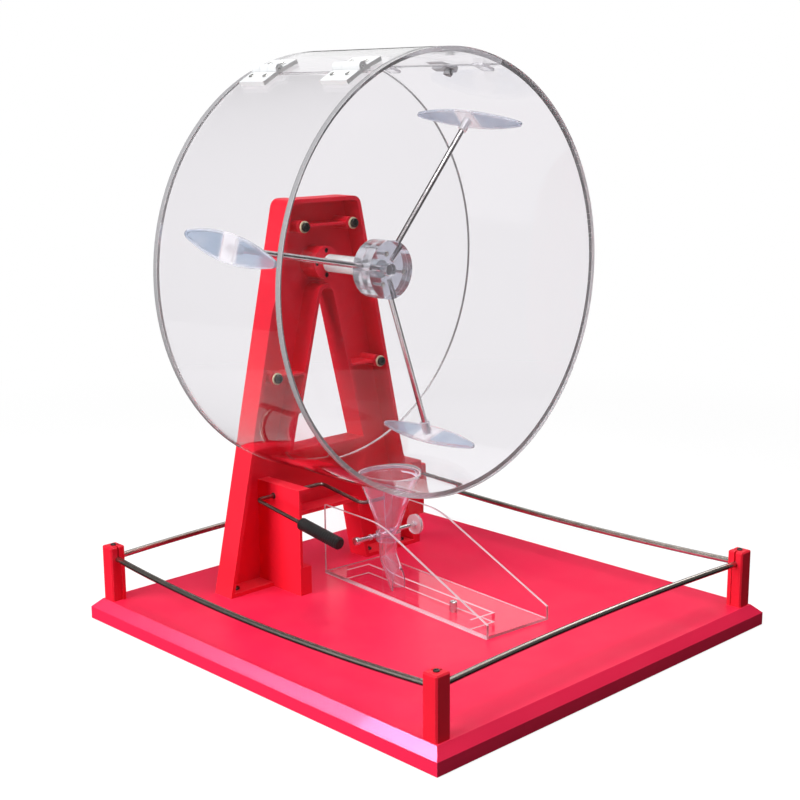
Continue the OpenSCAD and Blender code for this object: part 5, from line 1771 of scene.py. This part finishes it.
@dataclass
class Studio:
    """Camera, floor, lamps and the world round the machine; lengths here are metres."""

    place: tuple[float, float, float] = (-0.99106, -0.98723, 0.53375)
    azimuth: float = -44.156
    elevation: float = 12.037
    roll: float = -0.338
    lens: float = 63.84

    def camera(self) -> None:
        """Sets the camera where the photograph was taken from."""
        a, e, r = (math.radians(v) for v in (self.azimuth, self.elevation, self.roll))
        back = np.array([math.sin(a) * math.cos(e), -math.cos(a) * math.cos(e), math.sin(e)])
        right = np.cross(-back, (0.0, 0.0, 1.0))
        right /= np.linalg.norm(right)
        up = np.cross(right, -back)
        turned_right = math.cos(r) * right + math.sin(r) * up
        turned_up = -math.sin(r) * right + math.cos(r) * up
        data = bpy.data.cameras.new("camera")
        data.lens, data.sensor_width = self.lens, 36.0
        camera = bpy.data.objects.new("camera", data)
        bpy.context.scene.collection.objects.link(camera)
        axes = np.stack([turned_right, turned_up, back], 1)
        camera.matrix_world = Matrix.Translation(Vector(self.place)) @ Matrix(axes.tolist()).to_4x4()
        bpy.context.scene.camera = camera

    @staticmethod
    def seen(w: Wiring) -> bpy.types.NodeSocket:
        """A value that is 1 for what the camera sees, also in metal and through glass.

        Args:
            w: the wiring that gets the nodes.

        Returns:
            The value.
        """
        rays = w.add("ShaderNodeLightPath").outputs
        two = w.math("ADD", rays["Is Camera Ray"], rays["Is Glossy Ray"])
        return w.math("ADD", two, rays["Is Transmission Ray"], clamp=True)

    def world(self, ambient: float) -> None:
        """Makes the surroundings white to look at, and dim as a light.

        Args:
            ambient: the strength of the light that they give.
        """
        world = bpy.data.worlds.new("studio")
        world.use_nodes = True
        bpy.context.scene.world = world
        w = Wiring(world.node_tree)
        background = world.node_tree.nodes["Background"]
        background.inputs["Color"].default_value = (1, 1, 1, 1)
        extra = w.math("MULTIPLY", self.seen(w), 1.0 - ambient)
        w.feed(background.inputs["Strength"], w.math("ADD", extra, ambient))

    def floor(self) -> None:
        """Lays a pale floor that is white to look at, keeps the shadow and grows plain white far out."""
        mesh = bpy.data.meshes.new("floor")
        size, drop = 9.0, -0.0004
        corners = [(-size, -size, drop), (size, -size, drop), (size, size, drop), (-size, size, drop)]
        mesh.from_pydata(corners, [], [(0, 1, 2, 3)])
        floor = bpy.data.objects.new("floor", mesh)
        bpy.context.scene.collection.objects.link(floor)
        material = bpy.data.materials.new("floor_paper")
        material.use_nodes = True
        material.node_tree.nodes.clear()
        w = Wiring(material.node_tree)
        spot = w.add("ShaderNodeTexCoord").outputs["Object"]
        near = w.add("ShaderNodeVectorMath", {0: spot}, operation="LENGTH")
        far = w.ramp(near.outputs["Value"], 0.6, 1.5)
        grey = w.add("ShaderNodeBsdfDiffuse", {"Color": (0.3, 0.3, 0.3, 1)})
        glow = w.add("ShaderNodeEmission", {"Strength": 0.76})
        paper = w.add("ShaderNodeAddShader", {0: grey.outputs[0], 1: glow.outputs[0]})
        white = w.add("ShaderNodeEmission", {"Strength": 1.0})
        shown = w.add("ShaderNodeMixShader", {0: far, 1: paper.outputs[0], 2: white.outputs[0]})
        plain = w.add("ShaderNodeBsdfDiffuse", {"Color": (0.2, 0.2, 0.2, 1)})
        whole = w.add("ShaderNodeMixShader", {0: self.seen(w), 1: plain.outputs[0], 2: shown.outputs[0]})
        w.feed(w.add("ShaderNodeOutputMaterial").inputs["Surface"], whole.outputs[0])
        mesh.materials.append(material)

    @staticmethod
    def aimed(item: bpy.types.Object, place: Sequence[float], target: Sequence[float]) -> None:
        """Puts an item in its place and points it at a target.

        Args:
            item: a lamp or card.
            place: where it stands.
            target: what it faces.
        """
        item.location = place
        way = Vector(target) - Vector(place)
        item.rotation_euler = way.to_track_quat("-Z", "Y").to_euler()

    def lamp(
        self,
        name: str,
        place: Sequence[float],
        target: Sequence[float],
        size: tuple[float, float],
        power: float,
        colour: Colour = (1.0, 1.0, 1.0),
    ) -> bpy.types.Object:
        """Adds a soft box.

        Args:
            name: its name.
            place: where it stands.
            target: what it faces.
            size: its width and height.
            power: its power.
            colour: its colour.

        Returns:
            The lamp.
        """
        data = bpy.data.lights.new(name, "AREA")
        data.shape, data.size, data.size_y = "RECTANGLE", *size
        data.energy = power
        data.color = colour
        lamp = bpy.data.objects.new(name, data)
        bpy.context.scene.collection.objects.link(lamp)
        self.aimed(lamp, place, target)
        return lamp

    def card(
        self,
        name: str,
        place: Sequence[float],
        target: Sequence[float],
        size: tuple[float, float],
        through: bool,
    ) -> None:
        """Adds a dark flag that only shows in gloss, where it keeps the white off the clear sheets.

        Args:
            name: its name.
            place: where it stands.
            target: what it faces.
            size: its width and height.
            through: it also shows in gloss that is seen through a clear sheet, but never straight through it.
        """
        w, h = size[0] / 2, size[1] / 2
        mesh = bpy.data.meshes.new(name)
        mesh.from_pydata([(-w, -h, 0), (w, -h, 0), (w, h, 0), (-w, h, 0)], [], [(0, 1, 2, 3)])
        card = bpy.data.objects.new(name, mesh)
        bpy.context.scene.collection.objects.link(card)
        self.aimed(card, place, target)
        card.visible_camera = card.visible_diffuse = card.visible_shadow = False
        card.visible_transmission = through
        material = bpy.data.materials.new(name + "_black")
        material.use_nodes = True
        material.node_tree.nodes.clear()
        w = Wiring(material.node_tree)
        mirrored = w.math("MINIMUM", w.add("ShaderNodeLightPath").outputs["Glossy Depth"], 1.0)
        clear = w.add("ShaderNodeBsdfTransparent")
        dark = w.add("ShaderNodeEmission", {"Strength": 0.12 if through else 0.004})
        shown = w.add("ShaderNodeMixShader", {0: mirrored, 1: clear.outputs[0], 2: dark.outputs[0]})
        w.feed(w.add("ShaderNodeOutputMaterial").inputs["Surface"], shown.outputs[0])
        mesh.materials.append(material)

    def build(self) -> None:
        """Sets up the camera, world, floor, lamps and cards."""
        self.camera()
        self.world(ambient=0.03)
        self.floor()
        self.lamp("left_softbox", (-2.1, 0.45, 0.95), (0, 0, 0.25), (1.6, 1.8), 65.0)
        self.lamp("top_softbox", (0.1, -0.5, 2.5), (0, 0, 0.1), (1.8, 1.4), 52.0)
        violet = (0.7, 0.52, 1.0)
        glare = self.lamp("bevel_glare", (-1.3, 1.05, 1.6), (-0.24, -0.25, 0.0), (0.6, 0.55), 7.0, violet)
        glare.data.spread = math.radians(24)
        glare.light_linking.receiver_collection = bpy.data.collections.new(GLARE_LIT)
        strip = self.lamp("rod_strip", (1.6, 0.1, 1.3), (0, 0, 0.2), (1.3, 0.3), 4.0)
        for lamp in (glare, strip):
            lamp.visible_diffuse = lamp.visible_transmission = False
        self.card("floor_flag", (0, 0, -0.0002), (0, 0, 1), (7.0, 7.0), through=False)
        self.card("back_flag", (1.3, 1.3, 0.42), (0, 0, 0.42), (3.4, 0.84), through=False)
        self.card("front_right_flag", (0.8, -0.85, 0.6), (0, 0, 0.6), (1.9, 1.2), through=True)
        self.card("left_flag", (-0.9, 0.6, 1.2), (0, 0, 1.2), (2.8, 2.6), through=True)
        self.card("high_flag", (0.32, 1.85, 1.75), (0.32, 0, 1.75), (0.95, 1.7), through=True)
        bpy.context.scene.view_settings.view_transform = "Standard"


def main() -> None:
    """Loads the solids and builds every sub-assembly in order, noting each as it starts."""
    logging.basicConfig(level=logging.INFO, format="%(message)s")
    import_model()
    for part in (Studio(), Base(), Stand(), Drum(), LidHardware(), Rotor(), Outlet(), Lever(), Tray()):
        LOG.info("building %s", type(part).__name__)
        part.build()


if __name__ == "__main__":
    main()
